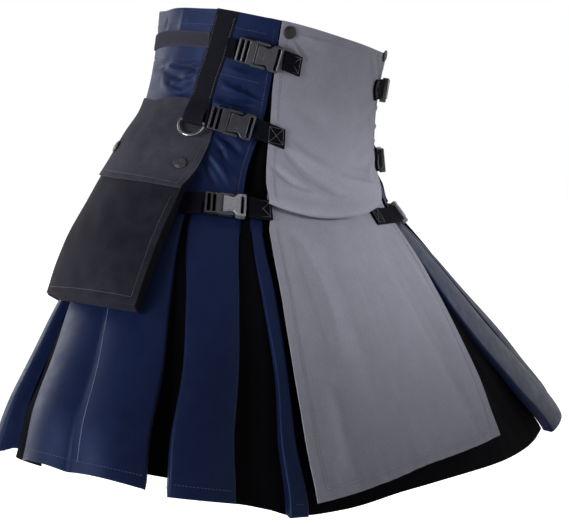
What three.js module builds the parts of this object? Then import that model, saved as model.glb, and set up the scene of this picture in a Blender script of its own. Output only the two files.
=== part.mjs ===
// A utility kilt, filled out as if worn. Millimetres, +Z up, front towards -Y, wearer's left towards +X.
// The origin is the middle of the waist. Every cloth piece is a thin wall laid on one garment surface.
import * as THREE from 'three';
import { mergeVertices } from 'three/addons/utils/BufferGeometryUtils.js';

// Driving sizes
const CLOTH = 1.6;
const APRON_CLOTH = 1.8;
const WEBBING = 25;
const WEBBING_THICK = 1.4;
const SEAM_GAP = 0.3;
const LAY_GAP = 0.8;
const FELL = 214;
const HEM = 552;
const SNAP_RADIUS = 7.8;
const RING_WIRE = 2.0;

// The garment's sections, from the waist down: `down` is the depth below the waist, `half` the half width,
// `front` and `back` the half depths, `power` the squareness, and `rise` lifts the sides.
const SECTIONS = [
  { down: -40, half: 167, front: 129, back: 129, power: 2, rise: 0 },
  { down: 0, half: 166, front: 128, back: 128, power: 2, rise: 0 },
  { down: 40, half: 164, front: 126, back: 126, power: 2, rise: 0 },
  { down: 80, half: 166, front: 126, back: 126, power: 2, rise: 0 },
  { down: 125, half: 172, front: 129, back: 131, power: 2, rise: 0 },
  { down: 165, half: 186, front: 134, back: 140, power: 2, rise: 0 },
  { down: 200, half: 201, front: 142, back: 148, power: 2.02, rise: 0 },
  { down: 230, half: 217, front: 152, back: 158, power: 2.05, rise: 2 },
  { down: 270, half: 247, front: 166, back: 170, power: 2.1, rise: 7 },
  { down: 320, half: 284, front: 182, back: 184, power: 2.15, rise: 14 },
  { down: 400, half: 342, front: 204, back: 202, power: 2.2, rise: 28 },
  { down: 480, half: 400, front: 222, back: 212, power: 2.3, rise: 40 },
  { down: 552, half: 444, front: 238, back: 218, power: 2.42, rise: 50 },
  { down: 600, half: 470, front: 248, back: 226, power: 2.42, rise: 56 },
];

// How the sections shift and lean: x to the wearer's left, y to the back
const LEANS = [
  { down: -40, shiftX: 0, shiftY: -4, leanX: -0.07, leanY: 0.2 },
  { down: 0, shiftX: 0, shiftY: 5, leanX: -0.08, leanY: 0.2 },
  { down: 40, shiftX: 0, shiftY: 14, leanX: -0.1, leanY: 0.2 },
  { down: 80, shiftX: 0, shiftY: 22, leanX: -0.12, leanY: 0.2 },
  { down: 125, shiftX: -2, shiftY: 28, leanX: -0.12, leanY: 0.2 },
  { down: 165, shiftX: -4, shiftY: 30, leanX: -0.09, leanY: 0.18 },
  { down: 200, shiftX: -6, shiftY: 28, leanX: -0.05, leanY: 0.14 },
  { down: 230, shiftX: -10, shiftY: 22, leanX: -0.03, leanY: 0.1 },
  { down: 270, shiftX: -11, shiftY: 14, leanX: -0.01, leanY: 0.06 },
  { down: 320, shiftX: -7, shiftY: 6, leanX: 0, leanY: 0.04 },
  { down: 400, shiftX: 2, shiftY: -6, leanX: 0, leanY: 0.02 },
  { down: 480, shiftX: 12, shiftY: -16, leanX: -0.01, leanY: 0 },
  { down: 552, shiftX: 30, shiftY: -20, leanX: -0.015, leanY: 0 },
  { down: 600, shiftX: 34, shiftY: -22, leanX: -0.015, leanY: 0 },
];

// Pleat edges as angles from the front, at four depths; `inner` is the edge nearer the front.
const EDGE_DEPTHS = [240, 330, 440, 552];
const PLEATS = [
  { name: 'front_strip', side: -1, inner: [34.8, 31.9, 30.4, 30.2], outer: [38.3, 35.6, 33.7, 33.1],
    foldIn: 12, foldOut: 12, crown: 0, crease: false, hem: 566 },
  { name: 'side_front_pleat_right', side: -1, inner: [42.5, 41.4, 41, 41], outer: [61.2, 55.8, 53, 52.4],
    foldIn: 12, foldOut: 24, crown: 3, crease: false, hem: 553 },
  { name: 'side_pleat_right', side: -1, inner: [63.5, 60.5, 57.5, 56.4], outer: [110, 104, 95, 91],
    foldIn: 24, foldOut: 22, crown: 6, crease: true, hem: 549 },
  { name: 'back_side_pleat_right', side: -1, inner: [113, 108, 101, 97], outer: [138, 137, 135, 134],
    foldIn: 22, foldOut: 22, crown: 6, crease: true, hem: 552 },
  { name: 'back_pleat_right', side: -1, inner: [141, 141, 140.8, 140.5], outer: [163, 163.5, 164, 164],
    foldIn: 22, foldOut: 22, crown: 6, crease: true, hem: 553 },
  { name: 'centre_back_pleat', side: 1, inner: [167, 168, 169.5, 170], outer: [193, 192, 190.5, 190],
    foldIn: 22, foldOut: 22, crown: 6, crease: true, hem: 553 },
  { name: 'back_pleat_left', side: 1, inner: [141, 141, 140.8, 140.5], outer: [163, 163.5, 164, 164],
    foldIn: 22, foldOut: 22, crown: 6, crease: true, hem: 552 },
  { name: 'back_side_pleat_left', side: 1, inner: [113, 108, 101, 97], outer: [138, 137, 135, 134],
    foldIn: 22, foldOut: 22, crown: 6, crease: true, hem: 552 },
  { name: 'side_pleat_left', side: 1, inner: [50.5, 51.5, 54.0, 55.5], outer: [110, 104, 95, 91],
    foldIn: 22, foldOut: 22, crown: 6, crease: true, hem: 551 },
  { name: 'side_front_pleat_left', side: 1, inner: [31.0, 30.5, 33.5, 37.0], outer: [48.0, 48.0, 50.0, 51.5],
    foldIn: 12, foldOut: 22, crown: 3, crease: false, hem: 556 },
];

// The dark cloth between two pleats, at the foot of their folds
const INSETS = [
  { name: 'side_inset_right', from: 'side_pleat_right', to: 'side_front_pleat_right', fold: 24, hem: 546 },
  { name: 'back_side_inset_right', from: 'back_side_pleat_right', to: 'side_pleat_right', fold: 22,
    hem: 549 },
  { name: 'back_inset_right', from: 'back_pleat_right', to: 'back_side_pleat_right', fold: 22, hem: 549 },
  { name: 'centre_back_inset_right', from: 'centre_back_pleat', to: 'back_pleat_right', fold: 22, hem: 549 },
  { name: 'centre_back_inset_left', from: 'back_pleat_left', to: 'centre_back_pleat', fold: 22, hem: 549 },
  { name: 'back_inset_left', from: 'back_side_pleat_left', to: 'back_pleat_left', fold: 22, hem: 549 },
  { name: 'back_side_inset_left', from: 'side_pleat_left', to: 'back_side_pleat_left', fold: 22, hem: 549 },
  { name: 'side_inset_left', from: 'side_front_pleat_left', to: 'side_pleat_left', fold: 22, hem: 549 },
];

// The front edge of the navy yoke, as an angle each side of the front
const YOKE_EDGE = [
  { down: -20, angle: 37.5 },
  { down: 60, angle: 38.8 },
  { down: 110, angle: 41.0 },
  { down: 150, angle: 43.5 },
  { down: 185, angle: 44.0 },
  { down: 220, angle: 42.5 },
];

// The apron's run from its top edge to its hem. It blouses over the third strap: `out` is its stand-off
// from the garment, and `lift` says how far its sides hang higher than its middle.
const APRON = [
  { down: -9, out: 2.6, lift: 0 },
  { down: 10, out: 3.0, lift: 0 },
  { down: 35, out: 3.8, lift: 0 },
  { down: 62, out: 5.4, lift: 0 },
  { down: 90, out: 8.5, lift: 0 },
  { down: 118, out: 12.0, lift: 1 },
  { down: 145, out: 16.5, lift: 3 },
  { down: 168, out: 20.5, lift: 7 },
  { down: 188, out: 22.5, lift: 12 },
  { down: 204, out: 22.0, lift: 15 },
  { down: 212, out: 18.5, lift: 16 },
  { down: 213, out: 14.5, lift: 16 },
  { down: 207, out: 12.6, lift: 14 },
  { down: 200, out: 11.8, lift: 10 },
  { down: 196, out: 9.0, lift: 8 },
  { down: 197, out: 5.4, lift: 7 },
  { down: 204, out: 4.4, lift: 5 },
  { down: 218, out: 4.2, lift: 2 },
  { down: 230, out: 4.4, lift: 0 },
  { down: 256, out: 5.2, lift: 0 },
  { down: 300, out: 6.6, lift: 0 },
  { down: 350, out: 7.6, lift: 0 },
  { down: 400, out: 8.0, lift: 0 },
  { down: 445, out: 8.2, lift: 0 },
  { down: 490, out: 8.0, lift: 0 },
  { down: 535, out: 8.0, lift: 0 },
];
const APRON_EDGE = [
  { down: -20, right: 37.2, left: 37.0 },
  { down: 62, right: 38.2, left: 37.5 },
  { down: 110, right: 36.9, left: 36.5 },
  { down: 200, right: 35.9, left: 35.5 },
  { down: 231, right: 33.6, left: 30.5 },
  { down: 300, right: 31.6, left: 27.0 },
  { down: 391, right: 30.6, left: 23.4 },
  { down: 481, right: 29.6, left: 20.0 },
  { down: 560, right: 29.3, left: 18.2 },
];
const APRON_HEM_SLANT = { right: 552, middle: 530, left: 521 };

// Straps, as angles from the front: the webbing runs from `root` to `tip`, the buckle ends at `near`.
// `stand` and `base` are the stand-offs of the buckle and of the webbing's root, `clear` the room at the
// buckle's ends, and `lay` the gap between the tab and the apron.
const STRAPS = [
  { name: 'top', down: 34, root: 57.8, near: 34.3, tip: 24.7, tipLeft: 24.7,
    length: 50, stand: 4.6, base: 0.8, clear: 1.8, lay: 0.7 },
  { name: 'middle', down: 124, root: 62.4, near: 41.6, tip: 28.6, tipLeft: 28.6,
    length: 46, stand: 5.6, base: 4.9, clear: 1, lay: 1.3 },
  { name: 'bottom', down: 214, root: 65.0, near: 41.5, tip: 31.6, tipLeft: 14.0,
    length: 46, stand: 3.4, base: 1.2, clear: 2.1, lay: 0.8 },
];
const TAB_SETTLE = 6;
const BUCKLE = { width: 32, thick: 8.4, ladderWidth: 29, ladderThick: 5.2, femaleShare: 0.56, notch: 4.4,
  bar: 3, slotEnd: 6.2, slotHalf: 12.9 };

// The hanging strap beside the pocket, and the ring in its loop
const HANGER = [
  { down: -12, angle: 61.4 },
  { down: 45, angle: 64.7 },
  { down: 90, angle: 67.4 },
  { down: 140, angle: 68.8 },
];
const HANGER_RUN = [
  { down: null, out: 2.2 },
  { down: 20, out: 2.2 },
  { down: 55, out: 2.2 },
  { down: 96, out: 2.2 },
  { down: 108, out: 4.8 },
];
const HANGER_RETURN = 7;
const RING = { inner: 27, drop: 21, tilt: 22, down: 132, overPocket: 0.05 };
const LOOP_GAP = 0.9;

// The cargo pocket on each hip, from its front edge to its rear edge
const POCKET = [
  { at: 0, front: 58.8, frontDown: 122, rear: 117, rearDown: 117, out: -0.6 },
  { at: 0.08, front: 59.3, frontDown: 140, rear: 118, rearDown: 135, out: 1.5 },
  { at: 0.2, front: 60.8, frontDown: 164, rear: 120, rearDown: 160, out: 9.0 },
  { at: 0.37, front: 65.2, frontDown: 200, rear: 121, rearDown: 209, out: 22.5 },
  { at: 0.6, front: 66.2, frontDown: 252, rear: 116, rearDown: 262, out: 27.5 },
  { at: 0.8, front: 67.0, frontDown: 301, rear: 110, rearDown: 305, out: 28.0 },
  { at: 1.0, front: 67.7, frontDown: 351, rear: 104.5, rearDown: 349, out: 25.0 },
];
const FLAP_END = 0.37;
const FLAP_OVER = 2.9;
const POCKET_TOP = 0.14;
const POCKET_BACK = 8;

const COLOURS = {
  navy: { color: 0x141c42, roughness: 0.72 },
  black: { color: 0x0b0b0e, roughness: 0.85 },
  grey: { color: 0x767680, roughness: 0.85 },
  canvas: { color: 0x303036, roughness: 0.9 },
  webbing: { color: 0x28282c, roughness: 0.75 },
  plastic: { color: 0x3c3c44, roughness: 0.35 },
  metal: { color: 0x969696, roughness: 0.3, metalness: 0.9 },
};

const kilt = new THREE.Group();

function material(name) {
  const look = COLOURS[name];
  return new THREE.MeshStandardMaterial({ metalness: 0, ...look });
}

// Smooth reading of a table column, with no overshoot between its rows
function slopes(xs, ys) {
  const steps = xs.slice(1).map((x, i) => x - xs[i]);
  const rates = steps.map((step, i) => (ys[i + 1] - ys[i]) / step);
  return xs.map((_, i) => {
    if (i === 0) {
      return rates[0];
    }
    if (i === xs.length - 1) {
      return rates[rates.length - 1];
    }
    if (rates[i - 1] * rates[i] <= 0) {
      return 0;
    }
    const before = 2 * steps[i] + steps[i - 1];
    const after = steps[i] + 2 * steps[i - 1];
    return (before + after) / (before / rates[i - 1] + after / rates[i]);
  });
}

function column(rows, key, along = 'down') {
  const xs = rows.map((row) => row[along]);
  const ys = rows.map((row) => row[key]);
  return reader(xs, ys);
}

function reader(xs, ys) {
  const tangents = slopes(xs, ys);
  return (value) => {
    const x = Math.min(Math.max(value, xs[0]), xs[xs.length - 1]);
    let i = 0;
    while (i < xs.length - 2 && x > xs[i + 1]) {
      i += 1;
    }
    const step = xs[i + 1] - xs[i];
    const t = (x - xs[i]) / step;
    const t2 = t * t;
    const t3 = t2 * t;
    return (2 * t3 - 3 * t2 + 1) * ys[i] + (t3 - 2 * t2 + t) * step * tangents[i]
      + (3 * t2 - 2 * t3) * ys[i + 1] + (t3 - t2) * step * tangents[i + 1];
  };
}

const section = {};
for (const key of ['half', 'front', 'back', 'power', 'rise']) {
  section[key] = column(SECTIONS, key);
}
for (const key of ['shiftX', 'shiftY', 'leanX', 'leanY']) {
  section[key] = column(LEANS, key);
}

const radians = (degrees) => degrees * Math.PI / 180;
const lerp = (a, b, t) => a + (b - a) * t;

// A point of the garment surface: angle in degrees from the front, positive to the wearer's left
function surface(angle, down) {
  const sin = Math.sin(radians(angle));
  const cos = Math.cos(radians(angle));
  const power = section.power(down);
  const half = section.half(down);
  const depth = cos > 0 ? section.front(down) : section.back(down);
  const scale = (Math.abs(sin) ** power + Math.abs(cos) ** power) ** (-1 / power);
  const x = half * sin * scale;
  const y = -depth * cos * scale;
  const lean = section.leanX(down) * x + section.leanY(down) * y;
  const z = -down + lean + section.rise(down) * Math.abs(x / half) ** 3;
  return new THREE.Vector3(x + section.shiftX(down), y + section.shiftY(down), z);
}

// The same point moved outwards along the surface's normal
const PROBE = { angle: 1.5, down: 5 };
function place(angle, down, out) {
  const across = surface(angle + PROBE.angle, down).sub(surface(angle - PROBE.angle, down));
  const along = surface(angle, down + PROBE.down).sub(surface(angle, down - PROBE.down));
  const normal = along.cross(across).normalize();
  return surface(angle, down).addScaledVector(normal, out);
}

// Degrees of turn that cover a length across the surface at this place
function turn(length, angle, down) {
  const span = surface(angle + PROBE.angle, down).distanceTo(surface(angle - PROBE.angle, down));
  return length * 2 * PROBE.angle / span;
}

// Moves a grid of points inwards along its own normals, keeping the wall's thickness round its corners
function inside(grid, thick) {
  const faceNormal = (i, j) => {
    const along = grid[i + 1][j].clone().sub(grid[i][j]).add(grid[i + 1][j + 1]).sub(grid[i][j + 1]);
    const across = grid[i][j + 1].clone().sub(grid[i][j]).add(grid[i + 1][j + 1]).sub(grid[i + 1][j]);
    return along.cross(across).normalize();
  };
  const rows = grid.length - 1;
  const columns = grid[0].length - 1;
  return grid.map((row, i) => row.map((point, j) => {
    const faces = [];
    for (const [di, dj] of [[-1, -1], [-1, 0], [0, -1], [0, 0]]) {
      if (i + di >= 0 && i + di < rows && j + dj >= 0 && j + dj < columns) {
        faces.push(faceNormal(i + di, j + dj));
      }
    }
    const normal = faces.reduce((sum, face) => sum.add(face), new THREE.Vector3()).normalize();
    const lean = Math.max(0.6, Math.min(...faces.map((face) => face.dot(normal))));
    return point.clone().addScaledVector(normal, -thick / lean);
  }));
}

// One closed wall from a grid of outer points; rows run down and columns towards the wearer's left
function wall(grid, thick, inner = inside(grid, thick)) {
  const rows = grid.length;
  const columns = grid[0].length;
  const points = [...grid.flat(), ...inner.flat()];
  const outerAt = (i, j) => i * columns + j;
  const innerAt = (i, j) => rows * columns + outerAt(i, j);
  const faces = [];
  const quad = (a, b, c, d) => faces.push(a, b, c, c, b, d);
  for (let i = 0; i < rows - 1; i += 1) {
    for (let j = 0; j < columns - 1; j += 1) {
      quad(outerAt(i, j), outerAt(i + 1, j), outerAt(i, j + 1), outerAt(i + 1, j + 1));
      quad(innerAt(i, j + 1), innerAt(i + 1, j + 1), innerAt(i, j), innerAt(i + 1, j));
    }
    quad(outerAt(i + 1, 0), outerAt(i, 0), innerAt(i + 1, 0), innerAt(i, 0));
    const last = columns - 1;
    quad(outerAt(i, last), outerAt(i + 1, last), innerAt(i, last), innerAt(i + 1, last));
  }
  for (let j = 0; j < columns - 1; j += 1) {
    quad(outerAt(0, j), outerAt(0, j + 1), innerAt(0, j), innerAt(0, j + 1));
    quad(outerAt(rows - 1, j + 1), outerAt(rows - 1, j), innerAt(rows - 1, j + 1), innerAt(rows - 1, j));
  }
  return solid(points, faces);
}

function solid(points, faces) {
  const geometry = new THREE.BufferGeometry();
  const values = points.flatMap((p) => [p.x, p.y, p.z]);
  geometry.setAttribute('position', new THREE.Float32BufferAttribute(values, 3));
  geometry.setIndex(faces);
  geometry.computeVertexNormals();
  return geometry;
}

function addMesh(name, geometry, look, parent = kilt) {
  const mesh = new THREE.Mesh(geometry, material(look));
  mesh.name = name;
  parent.add(mesh);
  return mesh;
}

function steps(from, to, count) {
  return Array.from({ length: count + 1 }, (_, i) => lerp(from, to, i / count));
}

// The waist's top edge dips a little on the wearer's right
const waistTop = (angle) => -7 - 5 * Math.sin(radians(-angle));

// Depth of a pleat's fold, which opens towards the hem
function foldDepth(fold, down) {
  const t = Math.min(Math.max((down - FELL) / (HEM - FELL), 0), 1);
  return lerp(2, fold, t ** 1.2);
}

const YOKE_ROWS = [0, 0.12, 0.24, 0.36, 0.48, 0.6, 0.7, 0.8, 0.9, 1];

// Navy yoke: one cloth from one side of the front round the back to the other
function buildYoke() {
  const edge = column(YOKE_EDGE, 'angle');
  const columns = 46;
  const grid = YOKE_ROWS.map((v) => steps(0, 1, columns).map((u) => {
    const rough = lerp(-10, FELL, v);
    const angle = lerp(-edge(rough), edge(rough) - 360, u);
    const down = lerp(waistTop(angle), FELL, v);
    return place(angle, down, 0);
  }));
  // The angles run from the right front edge backwards, so each row is turned round
  grid.forEach((row) => row.reverse());
  addMesh('yoke', wall(grid, CLOTH), 'navy');
}

// Black under-apron: one cloth from waist to hem behind the grey apron and between the front pleats
function buildUnderApron() {
  const right = reader([-20, 185, 215, 240, 330, 440, 560], [41, 48, 46.5, 46, 45, 44.6, 44.4]);
  const left = reader([-20, 185, 215, 240, 330, 440, 560], [41, 48, 40, 36, 35.5, 38, 41]);
  const behindYoke = YOKE_ROWS.map((v) => (angle) => lerp(waistTop(angle), FELL, v));
  const below = [228, 240, 262, 285, 330, 385, 440, 500, 554].map((down) => () => down);
  const grid = [...behindYoke, ...below].map((downAt) => steps(0, 1, 16).map((u) => {
    const level = downAt(0);
    const angle = lerp(-right(level), left(level), u);
    const down = downAt(angle);
    return place(angle, down, -foldDepth(12, down) - LAY_GAP);
  }));
  addMesh('under_apron', wall(grid, CLOTH), 'black');
}

// A pleat's edges at one depth, in the garment's own angles, from the wearer's right to their left
function pleatSpan(pleat, down) {
  const inner = reader(EDGE_DEPTHS, pleat.inner)(down);
  const outer = reader(EDGE_DEPTHS, pleat.outer)(down);
  return pleat.side < 0
    ? { start: -outer, end: -inner, foldStart: pleat.foldOut, foldEnd: pleat.foldIn }
    : { start: inner, end: outer, foldStart: pleat.foldIn, foldEnd: pleat.foldOut };
}

// The stand-off across a pleat: a soft crown, or two with a pressed crease between them
function pleatCrown(pleat, u, down) {
  const opened = Math.min(Math.max((down - FELL) / (HEM - FELL), 0), 1);
  const halves = pleat.crease ? 2 : 1;
  return pleat.crown * opened * Math.abs(Math.sin(Math.PI * u * halves)) ** 0.8;
}

function buildPleat(pleat) {
  const across = pleat.crease ? 8 : 4;
  const downs = [FELL + SEAM_GAP + 0.1, 240, 285, 330, 385, 440, 500, pleat.hem];
  const grid = downs.map((down) => {
    const span = pleatSpan(pleat, down);
    const face = steps(0, 1, across).map((u) => {
      const angle = lerp(span.start, span.end, u);
      return place(angle, down, pleatCrown(pleat, u, down));
    });
    const first = place(span.start, down, -foldDepth(span.foldStart, down));
    const last = place(span.end, down, -foldDepth(span.foldEnd, down));
    return [first, ...face, last];
  });
  addMesh(pleat.name, wall(grid, CLOTH), 'navy');
}

const INSET_OVERLAP = 5;

// An inset lies between one pleat's end and the next one's start, going to the wearer's left
function buildInset(inset) {
  const spanOf = (name, down) => pleatSpan(PLEATS.find((pleat) => pleat.name === name), down);
  const downs = [FELL - 4, 240, 285, 330, 385, 440, 500, inset.hem];
  const grid = downs.map((down) => {
    const start = spanOf(inset.from, down).end;
    const next = spanOf(inset.to, down).start;
    const end = next < start ? next + 360 : next;
    const reach = turn(INSET_OVERLAP, start, down);
    const depth = foldDepth(inset.fold, down) + LAY_GAP;
    return steps(start - reach, end + reach, 4).map((angle) => place(angle, down, -depth));
  });
  addMesh(inset.name, wall(grid, CLOTH), 'black');
}

// The grey apron, one cloth that blouses over the third strap and hangs to just above the hem
const apronEdge = { right: column(APRON_EDGE, 'right'), left: column(APRON_EDGE, 'left') };

function apronPoint(row, u, extra = 0) {
  const angle = lerp(-apronEdge.right(row.down), apronEdge.left(row.down), u);
  const side = (2 * u - 1) ** 2;
  const flat = row.down > 225 ? 1 : lerp(1, 0.72, side);
  let down = row.down - row.lift * side;
  if (row === APRON[0]) {
    down = waistTop(angle) - 1.5;
  }
  if (row === APRON[APRON.length - 1]) {
    down = u < 0.5
      ? lerp(APRON_HEM_SLANT.right, APRON_HEM_SLANT.middle, u * 2)
      : lerp(APRON_HEM_SLANT.middle, APRON_HEM_SLANT.left, u * 2 - 1);
  }
  return place(angle, down, (row.out - 2.6) * flat + 2.6 + extra);
}

function buildApron() {
  const grid = APRON.map((row) => steps(0, 1, 14).map((u) => apronPoint(row, u)));
  addMesh('front_apron', wall(grid, APRON_CLOTH), 'grey');
}

// Stand-off of the apron's outer face at a place, on its upper part or on the part below the strap
function apronOut(angle, down) {
  const upper = APRON.filter((row, i) => i < 9);
  const lower = APRON.filter((row, i) => i > 14);
  const rows = down < 195 ? upper : lower;
  const edge = angle < 0 ? apronEdge.right(down) : apronEdge.left(down);
  const side = Math.min(1, Math.abs(angle) / edge) ** 2;
  const flat = down > 225 ? 1 : lerp(1, 0.72, side);
  const out = reader(rows.map((row) => row.down - row.lift * side), rows.map((row) => row.out))(down);
  return (out - 2.6) * flat + 2.6;
}

// Webbing that lies on the garment: a strip along these angles at one depth, with its own stand-off
function webbingStrip(angles, downAt, outAt, width, thick) {
  const grid = [-width / 2, 0, width / 2].map((offset) => angles.map((angle) => {
    const down = downAt(angle) + offset;
    return place(angle, down, outAt(angle, down));
  }));
  return wall(grid, thick);
}

// The waist band runs round the back from behind one hanging strap to behind the other
const WAIST_BAND = { start: 70.3, width: 20, down: 34, dip: 12, dipRate: 1.3 };
function buildWaistBand() {
  const downAt = (angle) => {
    const past = Math.min(angle, 360 - angle) - WAIST_BAND.start;
    return WAIST_BAND.down + WAIST_BAND.dip * (1 - Math.cos(radians(past * WAIST_BAND.dipRate)));
  };
  const angles = steps(WAIST_BAND.start, 360 - WAIST_BAND.start, 40);
  const outAt = () => LAY_GAP + WEBBING_THICK;
  addMesh('waist_band', webbingStrip(angles, downAt, outAt, WAIST_BAND.width, WEBBING_THICK), 'webbing');
}

// The bar of a D-ring at rest: its middle, its direction and the way the ring hangs from it
const hangerAngle = column(HANGER, 'angle');
function ringFrame(side) {
  const out = pocketOut(RING.overPocket) + FLAP_OVER + LAY_GAP + WEBBING_THICK + LOOP_GAP + RING_WIRE;
  const middle = side * hangerAngle(RING.down);
  const centre = place(middle, RING.down, out);
  const across = place(middle + 2, RING.down, out).sub(place(middle - 2, RING.down, out)).normalize();
  const outward = place(middle, RING.down, out + 10).sub(centre).normalize();
  const downward = across.clone().cross(outward).normalize();
  const tilt = radians(RING.tilt);
  const hang = downward.clone().multiplyScalar(Math.cos(tilt)).addScaledVector(outward, Math.sin(tilt));
  return { centre, across, outward, downward, hang };
}

// The hanging strap runs down the yoke, over the pocket's top edge and round the ring's bar
function buildHanger(side, label) {
  const offsets = [-WEBBING / 2, 0, WEBBING / 2];
  const grid = HANGER_RUN.map((row) => offsets.map((offset) => {
    const down = row.down ?? waistTop(side * hangerAngle(0));
    const middle = side * hangerAngle(down);
    return place(middle + turn(offset, middle, down), down, row.out);
  }));
  const { centre, across, outward, downward } = ringFrame(side);
  const radius = RING_WIRE + LOOP_GAP + WEBBING_THICK;
  const loopRow = (out, down) => {
    const point = centre.clone().addScaledVector(outward, out).addScaledVector(downward, down);
    return offsets.map((offset) => point.clone().addScaledVector(across, offset));
  };
  grid.push(loopRow(radius - 0.8, -12));
  for (const bend of steps(0, 180, 6)) {
    grid.push(loopRow(radius * Math.cos(radians(bend)), radius * Math.sin(radians(bend))));
  }
  grid.push(loopRow(-radius, -HANGER_RETURN));
  addMesh(`hanger_strap_${label}`, wall(grid, WEBBING_THICK), 'webbing');
}

// A closed wire of round section through a loop of points
function closedWire(path, radius, sides) {
  const count = path.length;
  const centre = path.reduce((sum, p) => sum.add(p), new THREE.Vector3()).divideScalar(count);
  const quarter = path[Math.floor(count / 4)].clone().sub(centre);
  const plane = path[0].clone().sub(centre).cross(quarter).normalize();
  const points = [];
  path.forEach((point, i) => {
    const tangent = path[(i + 1) % count].clone().sub(path[(i + count - 1) % count]).normalize();
    const outward = tangent.clone().cross(plane).normalize();
    for (let k = 0; k < sides; k += 1) {
      const bend = 2 * Math.PI * k / sides;
      const reach = outward.clone().multiplyScalar(radius * Math.cos(bend));
      points.push(reach.add(point).addScaledVector(plane, radius * Math.sin(bend)));
    }
  });
  const faces = [];
  for (let i = 0; i < count; i += 1) {
    for (let k = 0; k < sides; k += 1) {
      const a = i * sides + k;
      const b = i * sides + (k + 1) % sides;
      const c = ((i + 1) % count) * sides + k;
      const d = ((i + 1) % count) * sides + (k + 1) % sides;
      faces.push(a, c, b, c, d, b);
    }
  }
  return solid(points, faces);
}

function buildRing(side, label) {
  const { centre, across, hang } = ringFrame(side);
  const half = RING.inner / 2 + RING_WIRE;
  const corner = 3.4;
  const path = [];
  for (const x of steps(-half * 0.82, half * 0.82, 5)) {
    path.push({ x, y: 0 });
  }
  for (const bend of steps(-8, 188, 15)) {
    const y = corner + (RING.drop - corner) * Math.sin(radians(bend));
    path.push({ x: half * Math.cos(radians(bend)), y });
  }
  const points = path.map((p) => centre.clone().addScaledVector(across, p.x).addScaledVector(hang, p.y));
  addMesh(`d_ring_${label}`, closedWire(points, RING_WIRE, 8), 'metal');
}

// A plate from an outline in its own plane, with small bevels; x runs towards the apron and y up the garment
function plate(outline, holes, thick, bevel) {
  const shape = new THREE.Shape(outline.map(([x, y]) => new THREE.Vector2(x, y)));
  for (const hole of holes) {
    shape.holes.push(new THREE.Path(hole.map(([x, y]) => new THREE.Vector2(x, y))));
  }
  const geometry = new THREE.ExtrudeGeometry(shape, {
    depth: thick - 2 * bevel,
    bevelEnabled: true,
    bevelThickness: bevel,
    bevelSize: bevel,
    bevelOffset: -bevel,
    bevelSegments: 1,
    curveSegments: 4,
  });
  geometry.translate(0, 0, bevel);
  geometry.deleteAttribute('normal');
  geometry.deleteAttribute('uv');
  const merged = mergeVertices(geometry, 1e-4);
  merged.computeVertexNormals();
  return merged;
}

const rectangle = (x0, x1, y0, y1) => [[x0, y0], [x1, y0], [x1, y1], [x0, y1]];

// The female half: a smooth body between two side notches, and an end bar behind a slot
function femalePlate(length) {
  const half = BUCKLE.width / 2;
  const core = half - BUCKLE.notch;
  const upper = [[0, core], [length * 0.42, core - 0.8], [length * 0.5, core + 0.4],
    [length * 0.6, half - 0.6], [length * 0.72, half], [length - 2, half], [length, half - 2]];
  const lower = upper.map(([x, y]) => [x, -y]).reverse();
  const slot = rectangle(length - BUCKLE.slotEnd, length - BUCKLE.bar, -BUCKLE.slotHalf, BUCKLE.slotHalf);
  return plate([...lower, ...upper], [slot], BUCKLE.thick, 0.9);
}

// The male half: a ladder of three bars, and two arms that lie in the female half's notches
function malePlate(length, reach) {
  const half = BUCKLE.ladderWidth / 2;
  const arm = BUCKLE.width / 2 - 0.3;
  const armIn = BUCKLE.width / 2 - BUCKLE.notch + 0.5;
  const tip = reach * 0.46;
  const upper = [[-0.4, armIn], [tip, armIn], [tip + 1.2, armIn + 1.4], [tip, arm - 0.4], [tip - 4, arm],
    [-3, arm], [-5, half], [-length + 1.5, half], [-length, half - 1.5]];
  const lower = upper.map(([x, y]) => [x, -y]).reverse();
  const first = rectangle(-length + BUCKLE.bar, -length + BUCKLE.slotEnd, -BUCKLE.slotHalf, BUCKLE.slotHalf);
  const middle = -length + BUCKLE.slotEnd + BUCKLE.bar;
  const second = rectangle(middle, middle + 3, -BUCKLE.slotHalf + 0.4, BUCKLE.slotHalf - 0.4);
  return plate([...upper, ...lower], [first, second], BUCKLE.ladderThick, 0.7);
}

// A buckle's place: x runs along the strap to the front, y up, z out of the garment
function buckleFrame(strap, side) {
  const half = strap.length / 2;
  const middle = strap.near + turn(half, side * strap.near, strap.down);
  const at = (angle, out) => place(side * angle, strap.down, out);
  const centre = at(middle, strap.stand);
  const forward = at(middle - 3, strap.stand).sub(at(middle + 3, strap.stand)).normalize();
  const outward = at(middle, strap.stand + 10).sub(centre).normalize();
  const up = outward.clone().cross(forward).normalize();
  return { centre, forward, up, outward, middle };
}

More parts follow.
